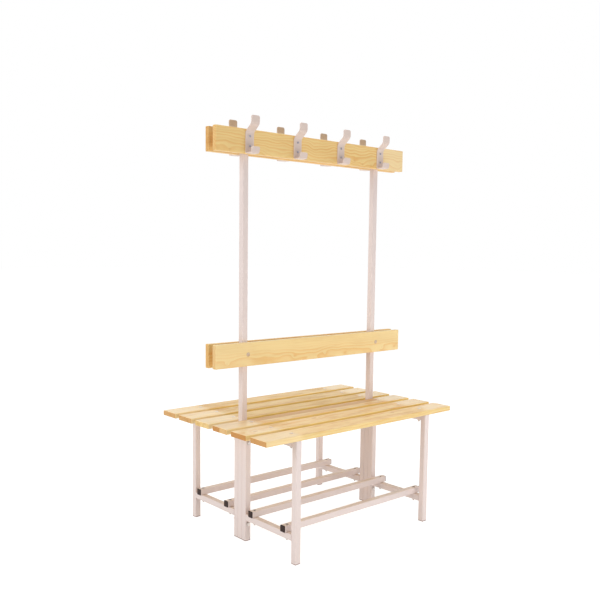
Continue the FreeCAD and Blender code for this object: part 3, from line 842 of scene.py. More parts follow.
def board_tree():
    """A planed board: a box whose outer rows of points are drawn round its edges."""
    group, _ = geometry_group("Planed board", {
        "Size": (VECTOR, (1.0, 0.09, 0.02)), "Place": (VECTOR, (0, 0, 0)), "Edge Radius": (FLOAT, 3 * MM),
        "Flat Margin": (FLOAT, 1.5 * MM), "Edge Steps": ("NodeSocketInt", 4),
        "Material": ("NodeSocketMaterial", None)})
    given = group.given
    steps = given["Edge Steps"]
    radius = given["Edge Radius"]
    rows = group.plus(group.times(steps, 2.0), FLAT_ROWS)
    cube = group.add(
        "GeometryNodeMeshCube",
        named={"Size": given["Size"], "Vertices X": rows, "Vertices Y": rows, "Vertices Z": rows})
    half = group.scaled(given["Size"], 0.5)
    spread = group.vector("DIVIDE", group.add("GeometryNodeInputPosition"), half)
    row = group.scaled(spread, group.times(group.minus(rows, 1.0), 0.5))
    outward = group.vector("SUBTRACT", group.vector("ABSOLUTE", row), LAST_FLAT_ROW)
    turn = group.scaled(group.vector("MAXIMUM", outward, (0, 0, 0)), group.math("DIVIDE", 1.0, steps))
    inward = group.vector("MAXIMUM", group.scaled(outward, -1.0), (0, 0, 0))
    corner = group.vector("SUBTRACT", half, group.joined(radius, radius, radius))
    corner = group.vector("SUBTRACT", corner, group.scaled(inward, given["Flat Margin"]))
    rounded = group.vector("ADD", corner, group.scaled(group.vector("NORMALIZE", turn), radius))
    placed = group.vector("MULTIPLY", rounded, group.vector("SIGN", row))
    placed = group.vector("ADD", placed, given["Place"])
    board = group.add("GeometryNodeSetPosition", named={"Geometry": cube, "Position": placed})
    return close_geometry(group, group.add("GeometryNodeSetShadeSmooth", named={"Geometry": board}))


def copies_tree():
    """A copy of one object on every point, facing the point's way and turned about by chance."""
    group, points = geometry_group("Copies on points", {
        "Copy": ("NodeSocketObject", None), "Spin": (FLOAT, 0.0), "Seed": ("NodeSocketInt", 0),
        "Material": ("NodeSocketMaterial", None)})
    given = group.given
    copy = group.add("GeometryNodeObjectInfo", named={"Object": given["Copy"]}, output="Geometry")
    facing = group.add("GeometryNodeInputNamedAttribute", named={"Name": "facing"}, data_type="FLOAT_VECTOR")
    turn = group.add("FunctionNodeAlignRotationToVector", named={"Vector": facing}, axis="Z")
    chance = (None, None, 0.0, given["Spin"], None, None, None, None, given["Seed"])
    spin = group.add("FunctionNodeRandomValue", chance, output=1, data_type="FLOAT")
    placed = group.add(
        "GeometryNodeInstanceOnPoints", named={"Points": points, "Instance": copy, "Rotation": turn})
    spun = group.add(
        "GeometryNodeRotateInstances", named={"Instances": placed, "Rotation": group.joined(0.0, 0.0, spin)})
    return close_geometry(group, spun)


def copies(name, copy, spots, material, spin=0.0, seed=0):
    """One mesh of all copies of an object, each at its place and facing its way."""
    start = bpy.data.meshes.new(f"{name}_spots")
    start.from_pydata([place for place, _ in spots], [], [])
    facing = start.attributes.new("facing", "FLOAT_VECTOR", "POINT")
    for point, (_, way) in zip(facing.data, spots):
        point.vector = way
    tree = shared("Copies on points", copies_tree)
    piece = grown(name, start, tree, {"Copy": copy, "Spin": spin, "Seed": seed, "Material": material})
    bpy.data.objects.remove(copy)
    return piece


SHARP_ANGLE = math.radians(50)


def lofted(name, rings, ring_shaped=False):
    """Closed mesh through rings of equally many points; its ends are capped unless it runs round a hole."""
    count = len(rings[0])
    points = [point for ring in rings for point in ring]
    starts = range(len(rings) if ring_shaped else len(rings) - 1)
    faces = []
    for row in starts:
        near = row * count
        far = (row + 1) % len(rings) * count
        for k in range(count):
            after = (k + 1) % count
            faces.append((near + k, near + after, far + after, far + k))
    if not ring_shaped:
        last = (len(rings) - 1) * count
        faces += [tuple(range(count)), tuple(range(last, last + count))]
    mesh = bpy.data.meshes.new(name)
    mesh.from_pydata(points, [], faces)
    body = bmesh.new()
    body.from_mesh(mesh)
    bmesh.ops.remove_doubles(body, verts=body.verts, dist=SAME_PLACE)
    bmesh.ops.dissolve_degenerate(body, edges=body.edges, dist=SAME_PLACE)
    bmesh.ops.recalc_face_normals(body, faces=body.faces)
    body.to_mesh(mesh)
    body.free()
    mesh.shade_smooth()
    mesh.set_sharp_from_angle(angle=SHARP_ANGLE)
    return new_object(name, mesh)


def evened(piece):
    """Smooth shading that keeps the large flats flat."""
    name = piece.name
    piece.name = f"{name}_soft"
    modifier = piece.modifiers.new("Flats stay flat", "WEIGHTED_NORMAL")
    modifier.keep_sharp = True
    return plain_copy(piece, name)


TURN_SIDES = 36
# A cross slot's core as a share of its reach, and how narrow its arms are
CROSS_CORE = 0.4
CROSS_ARMS = 4


def circle(radius):
    """Outline of a circle: its radius at any angle."""
    return lambda angle: radius


def hexagon(width, largest=math.inf):
    """Outline of a hexagon across its flats, cut back to a largest radius."""
    sector = math.pi / 3
    return lambda angle: min(width / 2 / math.cos(angle % sector - sector / 2), largest)


def cross_slot(reach):
    """Outline of a cross-shaped drive slot."""
    return lambda angle: reach * max(CROSS_CORE, abs(math.cos(2 * angle)) ** CROSS_ARMS)


def thread(radius, depth, turn):
    """Outline of a thread, at a share of its turn."""
    return lambda angle: radius - depth * (0.5 + 0.5 * math.cos(2 * math.pi * turn - angle))


def turned(name, stations, ring_shaped=False):
    """Piece from outlines at heights along its axis."""
    angles = [2 * math.pi * k / TURN_SIDES for k in range(TURN_SIDES)]
    rings = []
    for outline, height in stations:
        rings.append([(outline(a) * math.cos(a), outline(a) * math.sin(a), height) for a in angles])
    return lofted(name, rings, ring_shaped)


# Radius at which flat ends and domes close
TIP = 0.15 * MM
THREAD_STEPS = 6
THREAD_DEPTH = 0.55
DOME_STEPS = 6
# Outline of a flat-domed head in shares of its radius and height, and how far its slot's middle goes
PAN_OUTLINE = ((0.96, 0.0), (1.0, 0.1), (1.0, 0.35), (0.95, 0.65), (0.82, 0.88), (0.62, 1.0))
SLOT_MIDDLE = 1.15
# Hexagons: radius where corners are cut and radius of the flat face, in shares of half the width
CUT_CORNER = 1.06
NUT_FACE = 0.94
HEAD_FACE = 0.93
CAP_SHOULDER = 0.95
# Heights of cut corners and edges, in shares of the height of a head, nut, cap nut or washer
HEAD_BEVEL = (0.8, 0.93)
NUT_BEVEL = 0.12
CAP_HEIGHTS = (0.08, 0.2, 0.85)
WASHER_EDGE = 0.2
# Heights at which a nut's cut corners begin and end, in shares of its bevel
BEVEL_HEIGHTS = (0.6, 1.6)


def shank(radius, end, threaded, pitch):
    """Stations of a bolt's shank from its free end up to under its head."""
    depth = THREAD_DEPTH * pitch
    stations = [(circle(TIP), end), (circle(radius - depth), end)]
    stations.append((circle(radius - depth / 2), end + pitch / 2))
    for k in range(round(threaded / pitch * THREAD_STEPS)):
        rise = k / THREAD_STEPS
        stations.append((thread(radius, depth, rise), end + (rise + 0.5) * pitch))
    return stations + [(circle(radius), end + threaded + pitch), (circle(radius), 0.0)]


def dome(radius, height, rim):
    """Stations of a dome above a short straight rim."""
    ball = (radius ** 2 + (height - rim) ** 2) / (2 * (height - rim))
    widest = math.asin(min(radius / ball, 1.0))
    stations = [(circle(radius - rim / 3), 0.0), (circle(radius), rim / 3)]
    for k in range(DOME_STEPS):
        angle = widest * (1 - k / DOME_STEPS)
        stations.append((circle(ball * math.sin(angle)), height - ball * (1 - math.cos(angle))))
    return stations + [(circle(TIP), height)]


def pan_head(radius, height, slot, slot_depth):
    """Stations of a flat-domed head with a drive slot."""
    stations = [(circle(radius * out), height * up) for out, up in PAN_OUTLINE]
    stations += [(slot, height), (slot, height - slot_depth)]
    return stations + [(circle(TIP), height - slot_depth * SLOT_MIDDLE)]


def hex_head(width, height):
    """Stations of a hexagon head with its top corners turned off."""
    flat = width / 2
    start, end = (height * share for share in HEAD_BEVEL)
    return [
        (hexagon(width), 0.0), (hexagon(width), start), (hexagon(width, flat * CUT_CORNER), end),
        (circle(flat * HEAD_FACE), height), (circle(TIP), height),
    ]


def nut(name, width, height, bore):
    """Hexagon nut standing on the origin, with both rims turned off."""
    flat = width / 2
    bevel = height * NUT_BEVEL
    face = circle(flat * NUT_FACE)
    cut = hexagon(width, flat * CUT_CORNER)
    start, end = (bevel * share for share in BEVEL_HEIGHTS)
    return turned(name, [
        (circle(bore + bevel), 0.0), (face, 0.0), (cut, start), (hexagon(width), end),
        (hexagon(width), height - end), (cut, height - start), (face, height),
        (circle(bore + bevel), height), (circle(bore), height - bevel), (circle(bore), bevel),
    ], ring_shaped=True)


def cap_nut(name, width, height, ball, top):
    """Hexagon nut closed by a dome, standing on the origin."""
    flat = width / 2
    start, end, shoulder = (height * share for share in CAP_HEIGHTS)
    stations = [
        (circle(TIP), 0.0), (circle(flat * NUT_FACE), 0.0), (hexagon(width, flat * CUT_CORNER), start),
        (hexagon(width), end), (hexagon(width), shoulder), (circle(flat * CAP_SHOULDER), height),
    ]
    for k in range(DOME_STEPS):
        angle = math.pi / 2 * (1 - k / DOME_STEPS)
        stations.append((circle(ball * math.sin(angle)), height + (top - height) * math.cos(angle)))
    return turned(name, stations + [(circle(TIP), top)])


def washer(name, radius, bore, height):
    """Flat washer standing on the origin."""
    edge = height * WASHER_EDGE
    return turned(name, [
        (circle(bore), edge), (circle(bore + edge), 0.0), (circle(radius - edge), 0.0),
        (circle(radius), edge), (circle(radius), height - edge), (circle(radius - edge), height),
        (circle(bore + edge), height), (circle(bore), height - edge),
    ], ring_shaped=True)


def square_ring(half, corner, height, steps=6):
    """Points of a square with rounded corners."""
    points = []
    inner = Vector((half - corner, half - corner, 0))
    for quarter in range(4):
        middle = Matrix.Rotation(quarter * math.pi / 2, 3, "Z") @ inner
        for k in range(steps + 1):
            angle = (quarter + k / steps) * math.pi / 2
            spoke = Vector((math.cos(angle), math.sin(angle), 0)) * corner
            points.append(middle + spoke + UP * height)
    return points


PLUG_ROLL = 0.8 * MM
PLUG_PLAY = 0.2 * MM
PLUG_ROLL_STEPS = 4
# The flat middle of a plug's face and its corners, in shares of the whole face and of the tube's corners
PLUG_FACE = 0.8
PLUG_FACE_CORNER = 0.7


def tube_plug(name, side, flange, small):
    """End plug: its flange stands above the origin and its stem hangs in the tube."""
    half = side / 2
    corner = small.tube_corner
    inside = half - small.tube_wall - PLUG_PLAY
    rings = [
        square_ring(inside - PLUG_ROLL, corner / 3, -small.plug_stem),
        square_ring(inside, corner / 2, -small.plug_stem + PLUG_ROLL),
        square_ring(inside, corner / 2, 0.0),
        square_ring(half, corner, 0.0),
        square_ring(half, corner, flange - PLUG_ROLL),
    ]
    for k in range(1, PLUG_ROLL_STEPS + 1):
        angle = k / PLUG_ROLL_STEPS * math.pi / 2
        inset = PLUG_ROLL * (1 - math.cos(angle))
        rings.append(square_ring(half - inset, corner - inset, flange - PLUG_ROLL * (1 - math.sin(angle))))
    rings.append(square_ring((half - PLUG_ROLL) * PLUG_FACE, corner * PLUG_FACE_CORNER, flange))
    return evened(lofted(name, rings))


def strip_path(corners, radii, bend_steps=8):
    """Points and directions along a bent strip's middle line: straight runs joined by round bends."""
    stops = [(corners[0], (corners[1] - corners[0]).normalized())]
    for before, corner, after, radius in zip(corners, corners[1:], corners[2:], radii):
        into = (corner - before).normalized()
        out = (after - corner).normalized()
        bend = into.angle(out)
        axis = into.cross(out).normalized()
        start = corner - into * radius * math.tan(bend / 2)
        middle = start + axis.cross(into) * radius
        for k in range(bend_steps + 1):
            turn = Matrix.Rotation(bend * k / bend_steps, 3, axis)
            stops.append((middle + turn @ (start - middle), turn @ into))
    stops.append((corners[-1], (corners[-1] - corners[-2]).normalized()))
    return stops


def with_tip_stops(stops, distances):
    """A strip's stops with more of them close to both tips, and each stop's distance to the nearer tip."""
    lengths = [0.0]
    for (a, _), (b, _) in zip(stops, stops[1:]):
        lengths.append(lengths[-1] + (b - a).length)
    total = lengths[-1]
    (first, first_way), (last, last_way) = stops[0], stops[-1]
    made = [(first + first_way * d, first_way, d) for d in distances]
    for (place, way), length in zip(stops[1:-1], lengths[1:-1]):
        reach = min(length, total - length)
        if reach > distances[-1] + SAME_PLACE:
            made.append((place, way, reach))
    return made + [(last - last_way * d, last_way, d) for d in reversed(distances)]


def flat_outline(half_width, half_thickness, edge, steps=3):
    """Points (across, through) of a strip's section with softened edges."""
    points = []
    signs = ((1, 1), (-1, 1), (-1, -1), (1, -1))
    for quarter, (side, face) in enumerate(signs):
        for k in range(steps + 1):
            angle = (quarter + k / steps) * math.pi / 2
            points.append((
                side * (half_width - edge) + edge * math.cos(angle),
                face * (half_thickness - edge) + edge * math.sin(angle)))
    return points


def round_in(distance, radius):
    """How far a rounded corner stands back at a distance from the end."""
    left = max(radius - distance, 0.0)
    return radius - math.sqrt(radius ** 2 - left ** 2)


TIP_STEPS = 6
# How far a hook's face has to look away from the room to get the painted shade of the inside coat
TOWARDS_BOARD = -0.4


def coat_hook(name, node, steel):
    """Bent strip: upper arm, plate on the board and lower lip, with rounded tips."""
    low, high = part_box(node)
    outward = FRONT if centre(node).y < 0 else REAR
    x = centre(node).x
    board = min(abs(low.y), abs(high.y))
    width = extent(node).x
    middle = steel.hook_thickness / 2
    near = board + middle
    far = board + steel.hook_reach - middle
    lip = board + steel.lip_reach - middle
    elbow = low.z + steel.hook_plate + steel.hook_rise
    profile = (
        (far, high.z), (far, elbow), (near, low.z + steel.hook_plate), (near, low.z + middle),
        (lip - steel.lip_lean, low.z + middle), (lip, low.z + steel.hook_lip))
    corners = [RIGHT * x + outward * out + UP * z for out, z in profile]
    stops = strip_path(corners, (steel.hook_bend, steel.hook_bend, steel.hook_fold, steel.hook_fold))
    swing = [1 - math.cos(k / TIP_STEPS * math.pi / 2) for k in range(TIP_STEPS + 1)]
    distances = [steel.hook_edge * back for back in swing[:-1]]
    corner = [steel.hook_corner * back for back in swing]
    distances += [distance for distance in corner if distance >= steel.hook_edge]
    rings = []
    for place, way, distance in with_tip_stops(stops, distances):
        inset = round_in(distance, steel.hook_edge)
        half = width / 2 - round_in(distance, steel.hook_corner) - inset
        through = way.cross(RIGHT).normalized()
        outline = flat_outline(half, middle - inset, steel.hook_edge - inset)
        rings.append([place + RIGHT * across + through * depth for across, depth in outline])
    hook = evened(lofted(name, rings))
    # Faces towards the board take the painted shade
    for face in hook.data.polygons:
        face.material_index = int(face.normal.dot(outward) < TOWARDS_BOARD)
    return hook


def dress(nodes, material):
    """The frame's own solids keep their shape and get a finish."""
    for name in nodes:
        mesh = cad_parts[name].data
        mesh.materials.clear()
        mesh.materials.append(material)


def board_piece(context, node, name):
    """One planed board in the place of its solid."""
    pine = context.scene.bench.pine
    tree = shared("Planed board", board_tree)
    board = grown(name, bpy.data.meshes.new(f"{name}_start"), tree, {
        "Size": extent(node), "Place": centre(node), "Edge Radius": pine.edge_radius,
        "Edge Steps": pine.edge_steps, "Material": pine_material(node, pine)})
    hand_over(board, "pine", node)


class BENCH_OT_seat_slats(Operator):
    """Make the pine slats of both seats"""

    bl_idname = "bench.seat_slats"
    bl_label = "Seat slats"
    bl_options = {"REGISTER", "UNDO"}

    def execute(self, context):
        for node in SLATS:
            board_piece(context, node, node.replace("seat_slat", "pine_slat"))
        return {"FINISHED"}


class BENCH_OT_standing_boards(Operator):
    """Make the pine backrest boards and hook boards"""

    bl_idname = "bench.standing_boards"
    bl_label = "Backrest and hook boards"
    bl_options = {"REGISTER", "UNDO"}

    def execute(self, context):
        for node in STANDING_BOARDS:
            board_piece(context, node, f"pine_{node}")
        return {"FINISHED"}


class BENCH_OT_tube_frames(Operator):
    """Coat the square tubes: legs, bars, uprights and shoe rails"""

    bl_idname = "bench.tube_frames"
    bl_label = "Tube frames and shoe rails"
    bl_options = {"REGISTER", "UNDO"}

    def execute(self, context):
        steel = context.scene.bench.steel
        # Frame coat with painted shade and tan bounce light on the tops of rails and bars
        material = coated_steel("Frame coat", steel.frame_coat, steel, steel.top_painted_bounce)
        dress(LEGS + BARS + UPRIGHTS + RAILS, material)
        return {"FINISHED"}


class BENCH_OT_coat_hooks(Operator):
    """Make the bent strip hooks of both hook boards"""

    bl_idname = "bench.coat_hooks"
    bl_label = "Coat hooks"
    bl_options = {"REGISTER", "UNDO"}

    def execute(self, context):
        steel = context.scene.bench.steel
        # Painted shade: a darker, tanner copy of the frame coat
        outside = coated_steel("Hook coat", steel.hook_coat, steel)
        # Painted shade and tan bounce light on the faces towards the board
        inside = coated_steel("Hook inside coat", steel.hook_inside_painted_shade, steel)
        for node in HOOKS:
            hook = coat_hook(node.replace("coat_hook", "strip_hook"), node, steel)
            hook.data.materials.append(outside)
            hook.data.materials.append(inside)
            hand_over(hook, "hook_coat", node)
        return {"FINISHED"}


class BENCH_OT_plugs(Operator):
    """Make the plastic feet and the plugs of rails and uprights"""

    bl_idname = "bench.plugs"
    bl_label = "Feet and end plugs"
    bl_options = {"REGISTER", "UNDO"}

    def execute(self, context):
        small = context.scene.bench.small
        brown = moulded_plastic("Foot plastic", small.foot_plastic)
        black = moulded_plastic("Plug plastic", small.black_plastic)
        side = extent(UPRIGHTS[0]).x
        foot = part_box(LEGS[0])[0].z
        feet = (("leg_foot_plugs", "leg_feet", LEGS), ("upright_foot_plugs", "upright_feet", UPRIGHTS))
        for name, node, tubes in feet:
            spots = [(Vector((*centre(tube).xy, foot)), DOWN) for tube in tubes]
            piece = copies(name, tube_plug("foot", side, foot, small), spots, brown)
            hand_over(piece, "foot_plastic", node)
        rail_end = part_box(RAILS[0])[1].x
        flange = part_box("rail_end_plugs")[1].x - rail_end
        tops = [(Vector((x, 0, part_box(UPRIGHTS[0])[1].z)), UP) for x in FRAME_ENDS]
        ends = [
            (centre(rail) + RIGHT * rail_end * way, RIGHT * way) for rail in RAILS for way in (-1, 1)]
        for name, node, spots, width in (
                ("upright_top_plugs", "upright_end_plugs", tops, side),
                ("rail_cap_plugs", "rail_end_plugs", ends, extent(RAILS[0]).z)):
            piece = copies(name, tube_plug("plug", width, flange, small), spots, black)
            hand_over(piece, "black_plastic", node)
        return {"FINISHED"}


# Turns of thread on seat, rail and middle leg bolts, and on those of the backrest
LONG_THREAD = 6
SHORT_THREAD = 4
# Pitches of middle leg bolts and hook screws, in shares of the other bolts' pitch
CENTRE_PITCH = 1.25
SCREW_PITCH = 1.6
SCREW_THREAD = 8 * MM
DOME_RIM = 0.6 * MM
SOCKET_WIDTH = 4 * MM
SOCKET_DEPTH = 2 * MM
# The cross slot in shares of a screw head's radius and height, and a cap nut's dome in shares of its width
CROSS_REACH = 0.56
CROSS_DEPTH = 0.55
CAP_DOME = 0.45


def bolt_shape(small, end, turns, head):
    """Bolt of seat, rails or backrest, with the underside of its head at the origin."""
    pitch = small.thread_pitch
    return evened(turned("bolt", shank(small.bolt_diameter / 2, end, turns * pitch, pitch) + head))


def nut_shape(small):
    """Nut of seat or rails."""
    return nut("nut", small.nut_width, small.nut_height, small.bolt_diameter / 2)


def on_frames(boards, height):
    """Places where boards or rails cross the frames, at a height and facing up."""
    return [(Vector((x, centre(name).y, height)), UP) for name in boards for x in FRAME_ENDS]


def fasten(name, node, shape, spots, material, small, spin=math.tau):
    """Like fasteners in their places, each turned about its axis by chance."""
    hand_over(copies(name, shape, spots, material, spin, small.spin_seed), "zinc", node)


class BENCH_OT_seat_bolts(Operator):
    """Make the dome-headed bolts of the slats and their nuts"""

    bl_idname = "bench.seat_bolts"
    bl_label = "Seat bolts and nuts"
    bl_options = {"REGISTER", "UNDO"}

    def execute(self, context):
        small = context.scene.bench.small
        low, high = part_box("seat_bolts")
        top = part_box(SLATS[0])[1].z
        head = dome(high.x - FRAME_X, high.z - top, DOME_RIM)
        bolt = bolt_shape(small, low.z - top, LONG_THREAD, head)
        # Painted reflection: the brighter zinc of the seat domes
        painted_light_plating = plated_metal("Slat bolt plating", small.seat_zinc_painted_light)
        fasten("dome_bolts_seat", "seat_bolts", bolt, on_frames(SLATS, top), painted_light_plating, small)
        under = on_frames(SLATS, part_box("seat_nuts")[0].z)
        fasten("hex_nuts_seat", "seat_nuts", nut_shape(small), under, zinc_plating(small), small)
        return {"FINISHED"}


class BENCH_OT_rail_bolts(Operator):
    """Make the socket-headed bolts of the shoe rails and their nuts"""

    bl_idname = "bench.rail_bolts"
    bl_label = "Rail bolts and nuts"
    bl_options = {"REGISTER", "UNDO"}

    def execute(self, context):
        small = context.scene.bench.small
        zinc = zinc_plating(small)
        low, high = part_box("rail_bolts")
        seat = high.z - small.rail_head_height
        socket = hexagon(SOCKET_WIDTH)
        head = pan_head(high.x - FRAME_X, small.rail_head_height, socket, SOCKET_DEPTH)
        bolt = bolt_shape(small, low.z - seat, LONG_THREAD, head)
        fasten("socket_bolts_rails", "rail_bolts", bolt, on_frames(RAILS, seat), zinc, small)
        under = on_frames(RAILS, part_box("rail_nuts")[0].z)
        fasten("hex_nuts_rails", "rail_nuts", nut_shape(small), under, zinc, small)
        return {"FINISHED"}


class BENCH_OT_backrest_bolts(Operator):
    """Make the bolts through the backrest, with washers and cap nuts at the rear"""

    bl_idname = "bench.backrest_bolts"
    bl_label = "Backrest bolts"
    bl_options = {"REGISTER", "UNDO"}

    def execute(self, context):
        small = context.scene.bench.small
        zinc = zinc_plating(small)
        height = centre("backrest_bolts").z
        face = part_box("backrest_board_front")[0].y
        low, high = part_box("backrest_bolts")
        head = dome(high.x - FRAME_X, face - low.y, DOME_RIM)
        bolt = bolt_shape(small, face - high.y, SHORT_THREAD, head)
        spots = [(Vector((x, face, height)), FRONT) for x in FRAME_ENDS]
        # Painted reflection of the pine in the backrest bolts
        painted_reflection_plating = plated_metal("Backrest bolt plating", small.backrest_zinc_painted_reflection)
        fasten("dome_bolts_backrest", "backrest_bolts", bolt, spots, painted_reflection_plating, small)
        low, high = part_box("backrest_washers")
        ring = washer("ring", high.x - FRAME_X, small.bolt_diameter / 2, high.y - low.y)
        spots = [(Vector((x, low.y, height)), REAR) for x in FRAME_ENDS]
        fasten("washers_backrest", "backrest_washers", ring, spots, zinc, small, spin=0.0)
        low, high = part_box("backrest_cap_nuts")
        ball = small.nut_width * CAP_DOME
        cap = evened(cap_nut("cap", small.nut_width, small.nut_height, ball, high.y - low.y))
        spots = [(Vector((x, low.y, height)), REAR) for x in FRAME_ENDS]
        fasten("cap_nuts_backrest", "backrest_cap_nuts", cap, spots, zinc, small)
        return {"FINISHED"}


class BENCH_OT_centre_bolts(Operator):
    """Make the hexagon bolts, washers and nuts of the three-tube middle legs"""

    bl_idname = "bench.centre_bolts"
    bl_label = "Middle leg bolts"
    bl_options = {"REGISTER", "UNDO"}

    def execute(self, context):
        small = context.scene.bench.small
        zinc = zinc_plating(small)
        radius = small.centre_diameter / 2
        pitch = CENTRE_PITCH * small.thread_pitch
        low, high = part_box("centre_bolts")
        heights = (low.z + small.centre_head / 2, high.z - small.centre_head / 2)
        places = [(x, z) for x in FRAME_ENDS for z in heights]
        seat = low.y + small.centre_head_height
        stations = shank(radius, seat - high.y, LONG_THREAD * pitch, pitch)
        stations += hex_head(small.centre_head, small.centre_head_height)
        spots = [(Vector((x, seat, z)), FRONT) for x, z in places]
        fasten("hex_bolts_centre", "centre_bolts", evened(turned("bolt", stations)), spots, zinc, small)
        leg_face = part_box("rear_left_inner_leg")[1].y
        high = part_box("centre_washers")[1]
        ring = washer("ring", high.x - FRAME_X, radius, high.y - leg_face)
        spots = [(Vector((x, way.y * leg_face, z)), way) for x, z in places for way in (FRONT, REAR)]
        fasten("washers_centre", "centre_washers", ring, spots, zinc, small, spin=0.0)
        low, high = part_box("centre_nuts")
        shape = nut("nut", small.centre_head, high.y - low.y, radius)
        spots = [(Vector((x, low.y, z)), REAR) for x, z in places]
        fasten("hex_nuts_centre", "centre_nuts", shape, spots, zinc, small)
        return {"FINISHED"}


class BENCH_OT_hook_screws(Operator):
    """Make the cross-slotted screws of the hooks"""

    bl_idname = "bench.hook_screws"
    bl_label = "Hook screws"
    bl_options = {"REGISTER", "UNDO"}

    def execute(self, context):
        small = context.scene.bench.small
        zinc = plated_metal("Screw plating", small.screw_zinc)
        thick = context.scene.bench.steel.hook_thickness
        radius = small.screw_head / 2
        pitch = SCREW_PITCH * small.thread_pitch
        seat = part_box("hook_board_rear")[1].y + thick
        first, *middle, last = [centre(name).x for name in HOOKS if "front" in name]
        for name, node, places, grip in (
                ("cross_screws_long", "hook_screws_long", (first, last), small.long_grip),
                ("cross_screws_short", "hook_screws_short", middle, small.short_grip)):
            low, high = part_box(node)
            head = high.y - seat
            stations = shank(small.screw_diameter / 2, -thick - grip, SCREW_THREAD, pitch)
            stations += pan_head(radius, head, cross_slot(radius * CROSS_REACH), head * CROSS_DEPTH)
            spots = [
                (Vector((x, way.y * seat, z)), way) for x in places
                for z in (low.z + radius, high.z - radius) for way in (FRONT, REAR)]
            fasten(name, node, evened(turned("screw", stations)), spots, zinc, small)
        return {"FINISHED"}


FLOOR_HALF = 40.0
# How bright the floor's own white is, and its share of what the eye sees there
FLOOR_GLOW = 1.6
FLOOR_GLOW_SHARE = 0.5
# Soft lights: where each hangs, the side of its square, and the setting that holds its power
LIGHTS = {
    "Front light": ((0, -1.9, 0.45), 0.9, "front_power"),
    "Rear light": ((0, 1.9, 0.45), 0.9, "rear_power"),
    "Left light": ((-5.0, 0.2, 2.3), 2.5, "left_power"),
    "Right light": ((2.6, -1.2, 0.5), 1.0, "right_power"),
    "Top light": ((0, 0, 4.0), 2.5, "top_power"),
}


def white_behind(graph, lit, level):
    """Light of an all-round white: one level for lighting, another to the eye and in reflections."""
    path = graph.add("ShaderNodeLightPath").node.outputs
    seen = graph.math("MAXIMUM", path["Is Camera Ray"], path["Is Glossy Ray"])
    seen = graph.math("MAXIMUM", seen, path["Is Transmission Ray"])
    return graph.plus(graph.times(seen, level - lit), lit)


def studio_light(name, place, target, size, power):
    """Square soft light that looks at a target."""
    lamp = bpy.data.lights.new(name, "AREA")
    lamp.shape = "SQUARE"
    lamp.size = size
    lamp.energy = power
    light = new_object(name, lamp)
    light.location = place
    light.rotation_euler = (target - Vector(place)).to_track_quat("-Z", "Y").to_euler()
    light.visible_camera = False
    light.visible_glossy = False


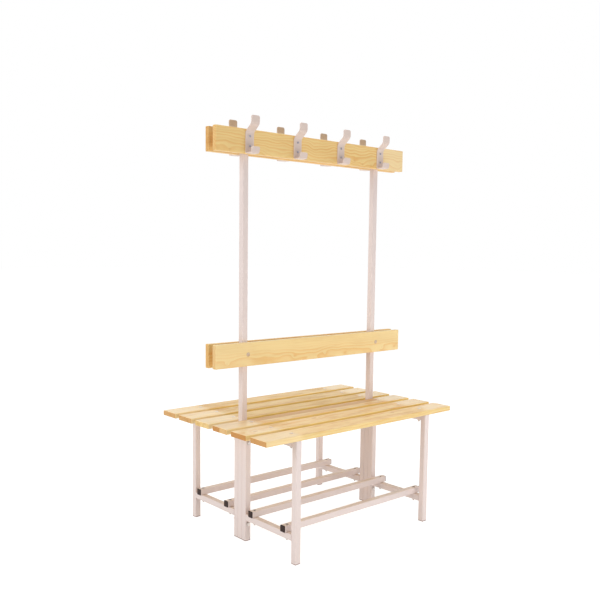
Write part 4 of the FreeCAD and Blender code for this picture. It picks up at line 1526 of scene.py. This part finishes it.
class BENCH_OT_stage(Operator):
    """Make the floor, the soft light and the camera"""

    bl_idname = "bench.stage"
    bl_label = "Stage"
    bl_options = {"REGISTER", "UNDO"}

    def execute(self, context):
        stage = context.scene.bench.stage
        context.scene.view_settings.view_transform = "Standard"
        self.add_floor(stage)
        self.add_light(context, stage)
        self.add_camera(context, stage)
        return {"FINISHED"}

    def add_floor(self, stage):
        mesh = bpy.data.meshes.new("floor")
        signs = ((-1, -1), (1, -1), (1, 1), (-1, 1))
        mesh.from_pydata([(x * FLOOR_HALF, y * FLOOR_HALF, 0) for x, y in signs], [], [(0, 1, 2, 3)])
        floor = new_object("floor", mesh)
        material = bpy.data.materials.new("Floor")
        graph = empty_graph(material)
        matt = graph.add("ShaderNodeBsdfDiffuse", named={"Color": opaque(stage.floor)})
        glow = graph.add("ShaderNodeEmission", named={"Strength": FLOOR_GLOW})
        share = white_behind(graph, 0.0, FLOOR_GLOW_SHARE)
        graph.close("ShaderNodeOutputMaterial", graph.add("ShaderNodeMixShader", (share, matt, glow)))
        mesh.materials.append(material)

    def add_light(self, context, stage):
        world = bpy.data.worlds.new("Studio")
        context.scene.world = world
        graph = empty_graph(world)
        white = {"Color": WHITE, "Strength": white_behind(graph, stage.ambient, 1.0)}
        graph.close("ShaderNodeOutputWorld", graph.add("ShaderNodeBackground", named=white))
        middle = (CAD_BOX[0] + CAD_BOX[1]) / 2
        for name, (place, size, power) in LIGHTS.items():
            studio_light(name, place, middle, size, getattr(stage, power))

    def add_camera(self, context, stage):
        data = bpy.data.cameras.new("Camera")
        data.lens = stage.camera_lens
        data.shift_x, data.shift_y = stage.camera_shift
        camera = new_object("Camera", data)
        turn = Matrix.Rotation(-stage.camera_yaw, 4, "Z")
        turn = turn @ Matrix.Rotation(math.pi / 2 - stage.camera_pitch, 4, "X")
        turn = turn @ Matrix.Rotation(stage.camera_roll, 4, "Z")
        camera.matrix_world = Matrix.Translation(stage.camera_place) @ turn
        context.scene.camera = camera


OPERATORS = (
    BENCH_OT_seat_slats, BENCH_OT_standing_boards, BENCH_OT_tube_frames, BENCH_OT_coat_hooks, BENCH_OT_plugs,
    BENCH_OT_seat_bolts, BENCH_OT_rail_bolts, BENCH_OT_backrest_bolts, BENCH_OT_centre_bolts,
    BENCH_OT_hook_screws, BENCH_OT_stage,
)


class BENCH_PT_builder(Panel):
    """Sidebar panel of the bench"""

    bl_idname = "BENCH_PT_builder"
    bl_label = "Changing-room bench"
    bl_space_type = "VIEW_3D"
    bl_region_type = "UI"
    bl_category = "Bench"

    def draw(self, context):
        bench = context.scene.bench
        for kind in OPERATORS:
            self.layout.operator(kind.bl_idname)
        for settings in (bench.pine, bench.steel, bench.small, bench.stage):
            box = self.layout.box()
            for key in settings.__annotations__:
                box.prop(settings, key)


CLASSES = (
    PineSettings, SteelSettings, SmallPartSettings, StageSettings, BenchSettings,
    *OPERATORS, BENCH_PT_builder,
)


def register():
    for kind in CLASSES:
        bpy.utils.register_class(kind)
    bpy.types.Scene.bench = PointerProperty(type=BenchSettings)


def unregister():
    del bpy.types.Scene.bench
    for kind in reversed(CLASSES):
        bpy.utils.unregister_class(kind)


def main():
    register()
    bpy.ops.bench.seat_slats()
    bpy.ops.bench.standing_boards()
    bpy.ops.bench.tube_frames()
    bpy.ops.bench.coat_hooks()
    bpy.ops.bench.plugs()
    bpy.ops.bench.seat_bolts()
    bpy.ops.bench.rail_bolts()
    bpy.ops.bench.backrest_bolts()
    bpy.ops.bench.centre_bolts()
    bpy.ops.bench.hook_screws()
    bpy.ops.bench.stage()


if __name__ == "__main__":
    main()
